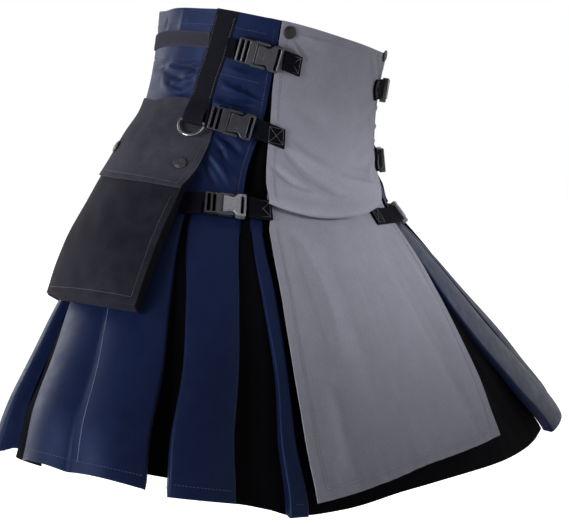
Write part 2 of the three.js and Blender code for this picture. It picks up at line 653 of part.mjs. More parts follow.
function buildStrap(strap, side, label) {
  const frame = buckleFrame(strap, side);
  const femaleLength = strap.length * BUCKLE.femaleShare;
  const maleLength = strap.length - femaleLength - SEAM_GAP;
  const hold = new THREE.Group();
  hold.applyMatrix4(new THREE.Matrix4().makeBasis(frame.forward, frame.up, frame.outward));
  hold.position.copy(frame.centre).addScaledVector(frame.forward, strap.length / 2 - femaleLength);
  kilt.add(hold);
  addMesh(`${strap.name}_buckle_female_${label}`, femalePlate(femaleLength), 'plastic', hold);
  const ladder = malePlate(maleLength, femaleLength);
  const male = addMesh(`${strap.name}_buckle_male_${label}`, ladder, 'plastic', hold);
  male.position.set(-SEAM_GAP, 0, (BUCKLE.thick - BUCKLE.ladderThick) / 2);

  // The webbing on the yoke runs up to the ladder, and the tab from the end bar on to the apron
  const reach = turn(strap.length / 2 + strap.clear, side * frame.middle, strap.down);
  const farAngle = frame.middle + reach;
  const nearAngle = frame.middle - reach;
  const thick = 2 * WEBBING_THICK;
  const barHeight = strap.stand + BUCKLE.thick / 2 + thick / 2;
  const baseOut = (angle) => {
    const t = (strap.root - Math.abs(angle)) / (strap.root - farAngle);
    return lerp(strap.base + thick, barHeight, t ** 1.5);
  };
  const tabOut = (angle, down) => {
    const t = Math.min(1, (nearAngle - Math.abs(angle)) / TAB_SETTLE);
    return lerp(barHeight + 1.2, apronOut(angle, down) + strap.lay + thick, Math.max(0, t));
  };
  const strip = (name, from, to, count, outAt) => {
    const angles = steps(side * from, side * to, count).sort((a, b) => a - b);
    const geometry = webbingStrip(angles, () => strap.down, outAt, WEBBING, thick);
    addMesh(`${strap.name}_${name}_${label}`, geometry, 'webbing');
  };
  strip('strap', strap.root, farAngle, 3, baseOut);
  strip('tab', nearAngle, side < 0 ? strap.tip : strap.tipLeft, 6, tabOut);
}

// Cargo pocket: a bellows front that turns in at its sides and bottom, under a flap held by two snaps
const pocketColumn = {};
for (const key of ['front', 'frontDown', 'rear', 'rearDown', 'out']) {
  pocketColumn[key] = column(POCKET, key, 'at');
}
const pocketOut = (v) => pocketColumn.out(v);

function pocketPoint(side, u, v, out) {
  const angle = lerp(pocketColumn.front(v), pocketColumn.rear(v), u);
  const down = lerp(pocketColumn.frontDown(v), pocketColumn.rearDown(v), u);
  return place(side * angle, down, out);
}

// Rows of a pocket piece, from the wearer's right to their left
function pocketRow(side, us, point) {
  const row = us.map(point);
  return side < 0 ? row.reverse() : row;
}

function buildPocket(side, label) {
  const us = steps(0, 1, 8);
  const across = [{ u: 0, back: true }, ...us.map((u) => ({ u, back: false })), { u: 1, back: true }];
  const crown = (u) => 3 * Math.sin(Math.PI * u);
  const vs = [POCKET_TOP, 0.25, 0.37, 0.5, 0.65, 0.8, 0.92, 1.0];
  const rows = vs.map((v) => pocketRow(side, across, ({ u, back }) => {
    const front = pocketOut(v) + crown(u) * Math.min(1, v * 2);
    return pocketPoint(side, u, v, back ? Math.min(POCKET_BACK, front - 3.6) : front);
  }));
  rows.push(pocketRow(side, across, ({ u }) => pocketPoint(side, lerp(0.02, 0.98, u), 1.0, POCKET_BACK)));
  addMesh(`pocket_${label}`, wall(rows, CLOTH), 'canvas');

  const flapRows = [0, 0.04, 0.1, 0.2, 0.3, FLAP_END].map((v) => pocketRow(side, us, (u) => {
    const sag = v === FLAP_END ? 0.008 * Math.sin(Math.PI * u) : 0;
    return pocketPoint(side, u, v + sag, pocketOut(v) + FLAP_OVER + crown(u) * Math.min(1, v * 2));
  }));
  addMesh(`pocket_flap_${label}`, wall(flapRows, CLOTH), 'canvas');

  for (const [name, u, v] of [['front', 0.14, 0.262], ['rear', 0.88, 0.255]]) {
    const out = pocketOut(v) + FLAP_OVER + crown(u) * v * 2;
    buildSnap(`pocket_snap_${name}_${label}`, pocketPoint(side, u, v, out), snapNormal(side, u, v), 0.8);
  }
}

function snapNormal(side, u, v) {
  const out = (s, t) => pocketPoint(side, s, t, pocketOut(t) + FLAP_OVER + 3 * Math.sin(Math.PI * s) * t * 2);
  const across = out(u + 0.05, v).sub(out(u - 0.05, v)).multiplyScalar(side);
  const along = out(u, v + 0.03).sub(out(u, v - 0.03));
  return along.cross(across).normalize();
}

// A domed snap cap on its cloth
function buildSnap(name, point, normal, gap) {
  const profile = [
    [0, 0], [SNAP_RADIUS * 0.5, 0], [SNAP_RADIUS * 0.92, 0], [SNAP_RADIUS, 0.9], [SNAP_RADIUS * 0.9, 2.0],
    [SNAP_RADIUS * 0.55, 2.7], [0, 2.9],
  ].map(([x, y]) => new THREE.Vector2(x, y));
  const geometry = new THREE.LatheGeometry(profile, 14);
  geometry.deleteAttribute('normal');
  geometry.deleteAttribute('uv');
  const merged = mergeVertices(geometry, 1e-4);
  merged.computeVertexNormals();
  const snap = addMesh(name, merged, 'plastic');
  snap.quaternion.setFromUnitVectors(new THREE.Vector3(0, 1, 0), normal);
  snap.position.copy(point).addScaledVector(normal, gap);
}

function buildApronSnap(side, label) {
  const angle = side * 32.1;
  const down = -0.5;
  const out = apronOut(angle, down);
  const point = place(angle, down, out);
  const normal = place(angle, down, out + 5).sub(point).normalize();
  buildSnap(`apron_snap_${label}`, point, normal, 0.5);
}

buildYoke();
buildUnderApron();
PLEATS.forEach(buildPleat);
INSETS.forEach(buildInset);
buildApron();
buildWaistBand();
for (const [side, label] of [[-1, 'right'], [1, 'left']]) {
  buildHanger(side, label);
  buildRing(side, label);
  STRAPS.forEach((strap) => buildStrap(strap, side, label));
  buildPocket(side, label);
  buildApronSnap(side, label);
}

export default kilt;
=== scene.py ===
"""A utility kilt, filled out as if worn: its cloth, webbing, buckles, snaps, rings and sewing.

Sizes are millimetres until a mesh is made, which is in metres like the frame. Angles are degrees round the
garment from its front, positive to the wearer's left, and `down` is the depth below the waist.
"""

import math

import bpy
import numpy as np
from mathutils import Matrix, Vector


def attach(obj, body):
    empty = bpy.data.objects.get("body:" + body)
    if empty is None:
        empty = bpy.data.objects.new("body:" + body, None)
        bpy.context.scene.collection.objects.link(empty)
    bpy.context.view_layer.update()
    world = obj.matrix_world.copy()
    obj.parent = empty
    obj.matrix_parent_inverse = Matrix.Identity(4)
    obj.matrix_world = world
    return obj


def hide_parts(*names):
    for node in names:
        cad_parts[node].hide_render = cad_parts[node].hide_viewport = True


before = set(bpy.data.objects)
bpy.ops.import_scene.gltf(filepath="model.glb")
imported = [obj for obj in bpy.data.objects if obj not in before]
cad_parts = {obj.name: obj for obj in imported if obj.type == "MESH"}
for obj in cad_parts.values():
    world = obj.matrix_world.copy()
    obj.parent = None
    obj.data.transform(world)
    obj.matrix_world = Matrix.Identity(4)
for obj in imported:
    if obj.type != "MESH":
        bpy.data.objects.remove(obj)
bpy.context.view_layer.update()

# Driving sizes
CLOTH = 1.5
WEBBING = 25.0
WEBBING_THICK = 1.4
FELL = 214.0
HEM = 552.0
SIDES = ((-1, "right"), (1, "left"))

# Sections of the garment from the waist down
DOWN = [-40, 0, 40, 80, 125, 165, 200, 230, 270, 320, 400, 480, 552, 600]
SECTION = {
    "half": [167, 166, 164, 166, 172, 186, 201, 217, 247, 284, 342, 400, 444, 470],
    "front": [129, 128, 126, 126, 129, 134, 142, 152, 166, 182, 204, 222, 238, 248],
    "back": [129, 128, 126, 126, 131, 140, 148, 158, 170, 184, 202, 212, 218, 226],
    "power": [2, 2, 2, 2, 2, 2, 2.02, 2.05, 2.1, 2.15, 2.2, 2.3, 2.42, 2.42],
    "rise": [0, 0, 0, 0, 0, 0, 0, 2, 7, 14, 28, 40, 50, 56],
    "shift_x": [0, 0, 0, 0, -2, -4, -6, -10, -11, -7, 2, 12, 30, 34],
    "shift_y": [-4, 5, 14, 22, 28, 30, 28, 22, 14, 6, -6, -16, -20, -22],
    "lean_x": [-0.07, -0.08, -0.1, -0.12, -0.12, -0.09, -0.05, -0.03, -0.01, 0, 0, -0.01, -0.015, -0.015],
    "lean_y": [0.2, 0.2, 0.2, 0.2, 0.2, 0.18, 0.14, 0.1, 0.06, 0.04, 0.02, 0, 0, 0],
}

# Pleats: edges as angles at four depths, with `inner` nearer the front, and what is folded in at each edge
EDGE_DOWN = [240, 330, 440, 552]
PLEAT_COLUMNS = ("name", "side", "inner", "outer", "fold_in", "fold_out", "crown", "hem")
PLEAT_ROWS = [
    ("front_strip", -1, [34.8, 31.3, 30.1, 29.1], [38.4, 34.9, 32.6, 32.2], 12, 12, 0, 566),
    ("side_front_pleat_right", -1, [42.5, 41.4, 41, 41], [61.2, 55.8, 53, 52.4], 12, 24, 3, 553),
    ("side_pleat_right", -1, [63.5, 60.5, 57.5, 56.4], [110, 104, 95, 91], 24, 22, 6, 549),
    ("back_side_pleat_right", -1, [118, 117, 116, 115], [138, 137, 135, 134], 22, 22, 6, 552),
    ("back_pleat_right", -1, [141, 141, 140.8, 140.5], [163, 163.5, 164, 164], 22, 22, 6, 553),
    ("centre_back_pleat", 1, [167, 168, 169.5, 170], [193, 192, 190.5, 190], 22, 22, 6, 553),
    ("back_pleat_left", 1, [141, 141, 140.8, 140.5], [163, 163.5, 164, 164], 22, 22, 6, 552),
    ("back_side_pleat_left", 1, [113, 108, 101, 97], [138, 137, 135, 134], 22, 22, 6, 552),
    ("side_pleat_left", 1, [50.5, 51.5, 54, 55.5], [110, 104, 95, 91], 22, 22, 6, 551),
    ("side_front_pleat_left", 1, [31, 30.5, 33.5, 37], [48, 48, 50, 51.5], 12, 22, 3, 556),
]
PLEATS = [dict(zip(PLEAT_COLUMNS, row)) for row in PLEAT_ROWS]

# The black cloth at the foot of a fold: from one pleat to the next, its depth and its hem
INSETS = [
    ("side_inset_right", "side_pleat_right", "side_front_pleat_right", 24, 529),
    ("back_side_inset_right", "back_side_pleat_right", "side_pleat_right", 22, 549),
    ("back_inset_right", "back_pleat_right", "back_side_pleat_right", 22, 549),
    ("centre_back_inset_right", "centre_back_pleat", "back_pleat_right", 22, 549),
    ("centre_back_inset_left", "back_pleat_left", "centre_back_pleat", 22, 549),
    ("back_inset_left", "back_side_pleat_left", "back_pleat_left", 22, 549),
    ("back_side_inset_left", "side_pleat_left", "back_side_pleat_left", 22, 549),
    ("side_inset_left", "side_front_pleat_left", "side_pleat_left", 22, 549),
]

# The apron from its top edge over its lip to its hem: how far down and out it lies, and how much higher its
# lip is at the wearer's left, less so at the right; then its side edges and its hem from right to left
APRON_DOWN = [-9, 10, 35, 62, 90, 118, 147, 174, 200, 221, 231, 232, 225, 217, 211, 208, 212, 222, 233,
              256, 300, 350, 400, 445, 490, 535]
APRON_OUT = [2.6, 3, 3.8, 5.4, 8.5, 12, 16.5, 20.5, 22.5, 22, 18.5, 14.5, 12.6, 11.8, 9, 5.4, 4.4, 4.2,
             4.4, 5.2, 6.6, 7.6, 8, 8.2, 8, 8]
APRON_LIFT = [0, 0, 0, 0, 0, 3, 9, 19, 32, 40, 42, 42, 38, 31, 26, 21, 13, 5] + [0] * 8
APRON_EDGE_DOWN = [-20, 62, 110, 200, 231, 300, 391, 481, 560]
APRON_RIGHT = [36.2, 35.6, 34.8, 34.7, 33.2, 31.3, 30.2, 28.7, 28]
APRON_LEFT = [36.5, 35.8, 34.8, 33.9, 30.1, 25.3, 21.5, 18.9, 16.2]
APRON_HEM = (552, 530, 521)

# Straps: where the webbing and the buckles run, as angles from the front; tip is for the right and the left
STRAPS = [
    {"name": "top", "down": 33, "root": 59.4, "near": 34.3, "tip": (24.7, 24.7), "drop": 4,
     "slope": 0.06, "length": 54, "stand": 4.6, "base": 0.8, "clear": 1.8, "lay": 0.7},
    {"name": "middle", "down": 123.5, "root": 63.6, "near": 41.4, "tip": (28.6, 28.6), "drop": 7,
     "slope": 0.06, "length": 54, "stand": 5.6, "base": 4.9, "clear": 1, "lay": 1.3},
    {"name": "bottom", "down": 219.5, "root": 65, "near": 41, "tip": (31.6, 14), "drop": 1,
     "slope": 0.02, "length": 49, "stand": 3.4, "base": 1.2, "clear": 2.1, "lay": 0.8},
]
LEFT_LOWER = {"top": 6, "middle": 7, "bottom": 3}
BUCKLE_WIDTH = 32.0
BUCKLE_THICK = 8.4
LADDER_THICK = 5.2
FEMALE_SHARE = 0.56
BUCKLE_GAP = 0.3

HANGER_DOWN = [-12, 45, 90, 140]
HANGER_ANGLE = [61.4, 64.7, 67.4, 68.8]
RING_DOWN = 132.0
RING_WIRE = 2.0
RING_INNER = 27.0
RING_DROP = 21.0
RING_TILT = 22.0
LOOP_GAP = 0.9

# The cargo pocket from its top to its bottom
POCKET_AT = [0, 0.08, 0.2, 0.37, 0.6, 0.8, 1]
POCKET = {
    "front": [58.8, 59.3, 60.8, 65.2, 66.2, 67, 67.7],
    "front_down": [122, 140, 164, 200, 252, 303, 357],
    "rear": [117, 118, 120, 121, 117, 112, 107],
    "rear_down": [117, 135, 160, 209, 263, 309, 356],
    "out": [-0.6, 1.5, 9, 22.5, 27.5, 28, 25],
}
FLAP_END = 0.37
FLAP_OVER = 2.9
POCKET_WIDTH = 165.0
POCKET_HEIGHT = 230.0

# Sewing: a stitch's size, the lines above a pleat's and the apron's hem, the stitched box on a tab, and how
# far down the yoke's seam lies
STITCH_LENGTH = 2.5
STITCH_WIDTH = 0.32
HEM_STITCH = 14.0
APRON_STITCH = 12.0
TAB_BOX = (17.0, 20.0)
YOKE_SEAM = 68.0

# Camera and set, in degrees and metres, with the lens and its sensor in millimetres
CAMERA_AZIMUTH = -46
CAMERA_HEIGHT = 4
CAMERA_DISTANCE = 1.55
TARGET_RIGHT = 0.008
TARGET_DOWN = 0.3
SENSOR = 36
LENS = 73.55
FLOOR = 40
FLOOR_LEVEL = -1.0

# Soft lights: how far to the right, towards the camera and above the target, then size and power
LIGHTS = [
    ("key", -1.2, 1.3, 0.15, 0.7, 60),
    ("fill", 1.5, 1.5, 0.1, 1.6, 10),
    ("top", 0.2, 0.2, 1.9, 1.2, 7),
    ("rear_left", -1.7, -0.7, 0.5, 1.2, 26),
    ("rear_right", 1.7, -0.7, 0.5, 1.2, 14),
]

# How much deeper than their tables the creases are, how full the pleats, and the deepest trough of the yoke
YOKE_DEPTH = 2.5
BACK_DEPTH = 1.6
APRON_DEPTH = 1.8
PLEAT_FULLNESS = 1.7
YOKE_TROUGH = -4.4


# Smooth reading of a table, with no overshoot between its rows
def reader(xs, ys):
    xs = np.asarray(xs, float)
    ys = np.asarray(ys, float)
    steps = np.diff(xs)
    rates = np.diff(ys) / steps
    tangents = np.concatenate([rates[:1], np.zeros(len(xs) - 2), rates[-1:]])
    for i in range(1, len(xs) - 1):
        if rates[i - 1] * rates[i] > 0:
            before = 2 * steps[i] + steps[i - 1]
            after = steps[i] + 2 * steps[i - 1]
            tangents[i] = (before + after) / (before / rates[i - 1] + after / rates[i])

    def read(value):
        x = np.clip(np.asarray(value, float), xs[0], xs[-1])
        i = np.clip(np.searchsorted(xs, x, side="left") - 1, 0, len(xs) - 2)
        t = (x - xs[i]) / steps[i]
        rest = 1 - t
        ends = (1 + 2 * t) * rest ** 2 * ys[i] + t ** 2 * (3 - 2 * t) * ys[i + 1]
        return ends + steps[i] * (t * rest ** 2 * tangents[i] - t ** 2 * rest * tangents[i + 1])

    return read


section = {key: reader(DOWN, values) for key, values in SECTION.items()}
pocket_at = {key: reader(POCKET_AT, values) for key, values in POCKET.items()}
hanger_angle = reader(HANGER_DOWN, HANGER_ANGLE)
apron_right = reader(APRON_EDGE_DOWN, APRON_RIGHT)
apron_left = reader(APRON_EDGE_DOWN, APRON_LEFT)


def mix(a, b, t):
    return a + (b - a) * t


def smooth(t):
    t = np.clip(t, 0, 1)
    return t * t * (3 - 2 * t)


def unit(vectors):
    return vectors / np.maximum(np.linalg.norm(vectors, axis=-1, keepdims=True), 1e-9)


# A point of the garment surface, and the same point moved out along the surface's normal
def surface(angle, down):
    turn_by = np.radians(angle)
    sin = np.sin(turn_by)
    cos = np.cos(turn_by)
    power = section["power"](down)
    half = section["half"](down)
    depth = np.where(cos > 0, section["front"](down), section["back"](down))
    scale = (np.abs(sin) ** power + np.abs(cos) ** power) ** (-1 / power)
    x = half * sin * scale
    y = -depth * cos * scale
    lean = section["lean_x"](down) * x + section["lean_y"](down) * y
    z = -down + lean + section["rise"](down) * np.abs(x / half) ** 3
    return np.stack([x + section["shift_x"](down), y + section["shift_y"](down), z], axis=-1)


def place(angle, down, out):
    angle, down, out = np.broadcast_arrays(np.asarray(angle, float), np.asarray(down, float), out)
    across = surface(angle + 1.5, down) - surface(angle - 1.5, down)
    along = surface(angle, down + 5) - surface(angle, down - 5)
    return surface(angle, down) + unit(np.cross(along, across)) * out[..., None]


def turn(length, angle, down):
    span = np.linalg.norm(surface(angle + 1.5, down) - surface(angle - 1.5, down), axis=-1)
    return length * 3 / span


waist_top_at = reader([-180, -140, -106, -92, -76, -60, -37, 0, 31, 60, 90, 140, 180],
                      [1, 4, 2, -4, -8, -12, -12, -7, -3, -7, -8, -5, 1])


def waist_top(angle):
    return waist_top_at(np.mod(np.asarray(angle) + 180, 360) - 180)


def fold_depth(fold, down):
    return mix(2, fold, np.clip((down - FELL) / (HEM - FELL), 0, 1) ** 1.2)


# Creases: each row runs from one place to another with a width and a height, which is below 0 for a trough
def creases(rows, angle, down):
    x = np.radians(angle) * section["half"](down)
    total = np.zeros(np.broadcast(angle, down).shape)
    for angle_a, down_a, angle_b, down_b, width, height, bow in rows:
        ax = math.radians(angle_a) * float(section["half"](down_a))
        bx = math.radians(angle_b) * float(section["half"](down_b))
        run = np.array([bx - ax, down_b - down_a], float)
        length = np.hypot(*run)
        run /= length
        t = ((x - ax) * run[0] + (down - down_a) * run[1]) / length
        inside = np.clip(t, 0, 1)
        off = (x - ax) * run[1] - (down - down_a) * run[0] - bow * 4 * inside * (1 - inside)
        past = np.maximum(np.abs(t - 0.5) - 0.5, 0) * length
        taper = np.sin(np.pi * np.clip(t * 0.9 + 0.05, 0, 1)) ** 0.8
        spread = width * (0.75 + 0.5 * inside)
        total += height * np.exp(-(off / spread) ** 2) * taper * np.exp(-(past / width) ** 2)
    return total


def mirrored(rows, lean):
    return [(-a, da, -b, db, w, h * lean, -bow) for a, da, b, db, w, h, bow in rows]


# Slow unevenness of hand-made cloth, from a few seeded waves
def waves(x, y, pitch, seed, count=7):
    rng = np.random.default_rng(seed)
    total = np.zeros(np.broadcast(x, y).shape)
    for _ in range(count):
        bend = rng.uniform(0, math.pi)
        size = pitch * rng.uniform(0.7, 1.5)
        shift = rng.uniform(0, 2 * math.pi)
        total = total + np.sin(2 * math.pi * (x * math.cos(bend) + y * math.sin(bend)) / size + shift)
    return total / math.sqrt(count)


# Creases of the yoke beside the right straps and the pocket, which the left side mirrors
YOKE_CREASES = [
    (-58, 74, -39, 86, 3.2, -1.7, 2), (-58, 82, -40, 92, 3.0, 1.4, 1), (-60, 96, -42, 96, 3.4, -2.0, -3),
    (-61, 104, -43, 108, 3.4, 1.6, 2), (-58, 60, -41, 66, 3.6, 1.0, 1),
    (-58, 146, -47, 178, 3.6, -2.4, 4), (-60, 158, -46, 196, 3.8, 1.8, 4), (-56, 140, -44, 156, 4.0, -2.0, 3),
    (-62, 172, -52, 200, 4.2, -1.8, 3), (-52, 150, -45, 186, 3.6, 1.6, -3),
    (-73, 60, -92, 70, 3.4, -1.6, 2), (-74, 72, -88, 92, 4.0, 1.5, 2), (-76, 84, -100, 76, 4.0, -1.6, 2),
    (-80, 100, -98, 92, 4.6, 1.4, 2), (-92, 64, -112, 78, 4.4, -1.4, 2), (-75, 98, -84, 112, 3.6, -1.8, 2),
    (-100, 10, -104, 26, 5.0, -0.8, 1), (-86, -2, -88, 26, 6.0, 0.8, 1),
]
# Creases of the yoke round the back
BACK_CREASES = [
    (-128, 66, -160, 74, 5, -1.6, 3), (-140, 96, -172, 90, 6, 1.4, -4), (-120, 130, -150, 150, 6, -1.6, 4),
    (-165, 120, -196, 134, 6, -1.5, -4), (-188, 70, -220, 78, 5, 1.3, 4), (-205, 104, -236, 96, 6, -1.6, 3),
    (-176, 160, -190, 206, 7, -1.4, 3), (-140, 168, -148, 208, 7, 1.3, -2),
    (-222, 150, -214, 206, 7, -1.4, 3),
]
# Creases of the apron above its lip and below it
APRON_UPPER_CREASES = [
    (-30, 6, -22, 26, 3.4, -1.5, 2), (-29, 3, -16, 14, 3.2, -1.3, -2), (-27, 0, -12, 2, 3.0, 1.0, -2),
    (-29, 12, -25, 34, 3.4, 1.2, 2), (22, -2, 31, 24, 4.6, -2.0, -3), (16, 2, 29, 34, 5.0, 1.6, -3),
    (30, 44, 12, 74, 7.0, 1.8, 4), (31, 58, 8, 96, 6.0, -2.2, 5), (33, 110, 6, 134, 6.0, -1.8, -4),
    (33, 122, 14, 164, 6.5, 2.0, -4), (32, 96, 20, 82, 5.0, -1.6, 3),
    (-28, 142, -4, 200, 6.5, -2.6, -7), (-31, 158, -12, 208, 9.0, 1.3, -7), (-27, 132, -4, 162, 8.0, 1.6, -5),
    (-33, 166, -18, 196, 5.0, -2.0, -4), (-10, 60, 6, 64, 14, -1.6, 6), (-12, 92, 8, 84, 14, 1.6, 4),
    (-4, 168, 20, 174, 8, 2.0, -4), (2, 150, 24, 150, 8, -1.8, 4), (-24, 88, -8, 110, 10, -1.4, 4),
]
APRON_LOWER_CREASES = [
    (-24, 250, -19, 400, 13, -3.0, 5), (-14, 260, -12, 470, 16, 2.6, -4), (-6, 240, -4, 420, 14, -3.0, 5),
    (2, 262, 6, 500, 16, 2.6, 4), (11, 250, 12, 430, 13, -2.4, -4), (18, 262, 17, 410, 10, 1.8, 3),
    (-22, 430, -22, 545, 11, 1.8, 3), (-8, 440, -6, 524, 11, -2.2, 3), (10, 420, 12, 515, 10, -1.8, 2),
]
# Folds of the under-apron where it shows beside the apron
UNDER_CREASES = [
    (-42, 300, -40, 540, 8, -2, 4), (-36, 320, -35, 552, 7, 1.6, 3), (24, 330, 27, 552, 9, -2.4, 5),
    (31, 360, 35, 552, 8, 2, 3), (14, 400, 20, 552, 10, 2, 4), (0, 380, 2, 552, 14, -2, 4),
]


# Blender meshes from grids
def grid_normals(points):
    across = np.gradient(points, axis=1)
    along = np.gradient(points, axis=0)
    return unit(np.cross(along, across))


def quads(rings, sides, closed=False):
    """Faces between rings of points that follow each other, back to the first ring where closed."""
    ring = np.arange(rings if closed else rings - 1)[:, None]
    below = (ring + 1) % rings
    point = np.arange(sides)[None, :]
    beside = (point + 1) % sides
    corners = (ring * sides + point, below * sides + point, below * sides + beside, ring * sides + beside)
    return np.stack(corners, axis=-1).reshape(-1, 4)


def make_mesh(name, points, faces, uvs=None, slots=None):
    mesh = bpy.data.meshes.new(name)
    mesh.from_pydata((np.asarray(points) / 1000).tolist(), [], faces)
    if uvs is not None:
        layer = mesh.uv_layers.new(name="cloth")
        corner = np.empty(len(mesh.loops), np.int32)
        mesh.loops.foreach_get("vertex_index", corner)
        layer.data.foreach_set("uv", (np.asarray(uvs)[corner] / 1000).ravel())
    if slots is not None:
        mesh.polygons.foreach_set("material_index", np.asarray(slots, np.int32))
    mesh.polygons.foreach_set("use_smooth", np.ones(len(mesh.polygons), bool))
    mesh.update()
    mesh.set_sharp_from_angle(angle=math.radians(62))
    return mesh


def add_piece(name, mesh, materials, replaces=(), body="garment"):
    piece = bpy.data.objects.new(name, mesh)
    bpy.context.scene.collection.objects.link(piece)
    for material in materials:
        mesh.materials.append(material)
    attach(piece, body)
    if replaces:
        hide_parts(*replaces)
    return piece


def shell(name, points, thick, materials, replaces, dark):
    """One thin wall from a grid of outer points: rows run down and columns towards the wearer's left."""
    rows, columns = points.shape[:2]
    inner = points - grid_normals(points) * thick
    steps_x = np.linalg.norm(np.diff(points, axis=1), axis=-1).mean(axis=0)
    steps_y = np.linalg.norm(np.diff(points, axis=0), axis=-1).mean(axis=1)
    u = np.concatenate([[0], np.cumsum(steps_x)])
    v = np.concatenate([[0], np.cumsum(steps_y)])
    uv = np.stack(np.meshgrid(u, v), axis=-1).reshape(-1, 2)
    at = np.arange(rows * columns).reshape(rows, columns)
    front = np.stack([at[:-1, :-1], at[1:, :-1], at[1:, 1:], at[:-1, 1:]], axis=-1).reshape(-1, 4)
    back = front[:, ::-1] + rows * columns
    rim = np.concatenate([at[0, ::-1], at[1:, 0], at[-1, 1:], at[-2:0:-1, -1]])
    following = np.roll(rim, -1)
    offset = rows * columns
    edge = np.stack([following, rim, rim + offset, following + offset], axis=-1)
    faces = np.concatenate([front, back, edge])
    slots = np.zeros(len(faces), int)
    if len(materials) > 1:
        slots[len(front):len(front) + len(back)] = 1
    # Front faces marked in dark take the second material; on the pocket this is a darker canvas painted as
    # shade.
    if dark is not None:
        slots[:len(front)] = np.broadcast_to(dark, (rows - 1, columns - 1)).ravel()
    all_points = np.concatenate([points.reshape(-1, 3), inner.reshape(-1, 3)])
    mesh = make_mesh(name, all_points, faces.tolist(), np.concatenate([uv, uv]), slots)
    return add_piece(name, mesh, materials, replaces)


def cloth(name, points, materials, thick=CLOTH, replaces=None, dark=None):
    hidden = [name.replace("cloth_", "")] if replaces is None else replaces
    piece = shell(name, points, thick, materials, hidden, dark)
    return piece


# Materials: small helpers that add a shader node and hand back one of its outputs
def base_material(name, colour, roughness, specular):
    material = bpy.data.materials.new(name)
    material.use_nodes = True
    shader = material.node_tree.nodes["Principled BSDF"]
    shader.inputs["Base Color"].default_value = (*colour, 1)
    shader.inputs["Roughness"].default_value = roughness
    shader.inputs["Specular IOR Level"].default_value = specular
    return material, material.node_tree, shader


def add_node(tree, kind, inputs, output=0, **settings):
    made = tree.nodes.new("ShaderNode" + kind)
    for key, value in settings.items():
        setattr(made, key, value)
    for key, value in inputs.items():
        if isinstance(value, bpy.types.NodeSocket):
            tree.links.new(value, made.inputs[key])
        else:
            made.inputs[key].default_value = value
    return made.outputs[output]


def coordinates(tree, kind):
    return add_node(tree, "TexCoord", {}, kind)


def noise(tree, scale, detail=3.0):
    inputs = {"Vector": coordinates(tree, "Object"), "Scale": scale, "Detail": detail}
    return add_node(tree, "TexNoise", inputs, "Fac")


def ramp(tree, value, low, high, from_low=0.3, from_high=0.7):
    inputs = {"Value": value, "From Min": from_low, "From Max": from_high, "To Min": low, "To Max": high}
    return add_node(tree, "MapRange", inputs, "Result")


def multiply(tree, *values):
    product = values[0]
    for value in values[1:]:
        product = add_node(tree, "Math", {0: product, 1: value}, operation="MULTIPLY")
    return product


def total(tree, a, b):
    return add_node(tree, "Math", {0: a, 1: b}, operation="ADD")


def colour_by(tree, shader, colour, value):
    scaled = add_node(tree, "VectorMath", {0: colour, "Scale": value}, operation="SCALE")
    tree.links.new(scaled, shader.inputs["Base Color"])


def relief(tree, shader, height, strength, distance=0.0004):
    bumped = add_node(tree, "Bump", {"Height": height, "Strength": strength, "Distance": distance}, "Normal")
    tree.links.new(bumped, shader.inputs["Normal"])


def stripes(tree, direction, pitch):
    """A wave of lines across a direction of the cloth, from 0 to 1, one for each pitch in metres."""
    inputs = {0: coordinates(tree, "UV"), 1: [x * 2 * math.pi / pitch for x in direction]}
    dot = add_node(tree, "VectorMath", inputs, "Value", operation="DOT_PRODUCT")
    return ramp(tree, add_node(tree, "Math", {0: dot}, operation="SINE"), 0, 1, -1, 1)


def worn_edge(tree, wear):
    pointed = add_node(tree, "NewGeometry", {}, "Pointiness")
    return ramp(tree, pointed, 0, wear, 0.53, 0.62)


def cloth_material(name, colour, roughness, mottle, grain, sheen, weave=0.0011, tint=(1, 1, 1),
                   wear=0.3, bump=0.12, shine=0.03, painted_waist_shade=1.0, foot=1.0):
    """Woven cloth, worn pale at its edges; its last two factors scale its colour near the waist and near the
    hem, darkening it there as painted shade.
    """
    material, tree, shader = base_material(name, colour, roughness, shine)
    shader.inputs["Specular Tint"].default_value = (*tint, 1)
    shader.inputs["Sheen Weight"].default_value = sheen
    shader.inputs["Sheen Roughness"].default_value = 0.45
    shader.inputs["Sheen Tint"].default_value = (*tint, 1)
    twill = stripes(tree, (0.8, 0.6, 0), weave)
    threads = multiply(tree, total(tree, twill, stripes(tree, (1, 0, 0), weave * 0.7)), 0.5)
    fine = noise(tree, 900, 2)
    blotch = noise(tree, 60, 4)
    height = add_node(tree, "SeparateXYZ", {0: coordinates(tree, "Object")}, "Z")
    # The two height ramps are painted shade: the cloth is darker towards the hem and towards the waist.
    shade = multiply(tree, ramp(tree, fine, 1 - grain, 1 + grain), ramp(tree, blotch, 1 - mottle, 1 + mottle),
                     ramp(tree, noise(tree, 9, 2), 1 - mottle, 1 + mottle),
                     ramp(tree, threads, 1 - grain * 0.6, 1 + grain * 0.6, 0, 1),
                     ramp(tree, height, foot, 1, -0.52, -0.28), ramp(tree, height, 1, painted_waist_shade, -0.18, -0.08))
    colour_by(tree, shader, colour, total(tree, shade, worn_edge(tree, wear)))
    tree.links.new(ramp(tree, blotch, roughness - 0.06, roughness + 0.06), shader.inputs["Roughness"])
    relief(tree, shader, total(tree, threads, fine), bump)
    return material


def webbing_material(name, colour):
    material, tree, shader = base_material(name, colour, 0.8, 0.01)
    shader.inputs["Sheen Weight"].default_value = 0.005
    ribs = stripes(tree, (0, 1, 0), 0.0021)
    weave = multiply(tree, total(tree, ribs, stripes(tree, (1, 0, 0), 0.0013)), 0.5)
    shade = multiply(tree, ramp(tree, weave, 0.7, 1.3, 0, 1), ramp(tree, noise(tree, 700, 2), 0.75, 1.25))
    colour_by(tree, shader, colour, total(tree, shade, worn_edge(tree, 0.6)))
    relief(tree, shader, weave, 0.5)
    return material


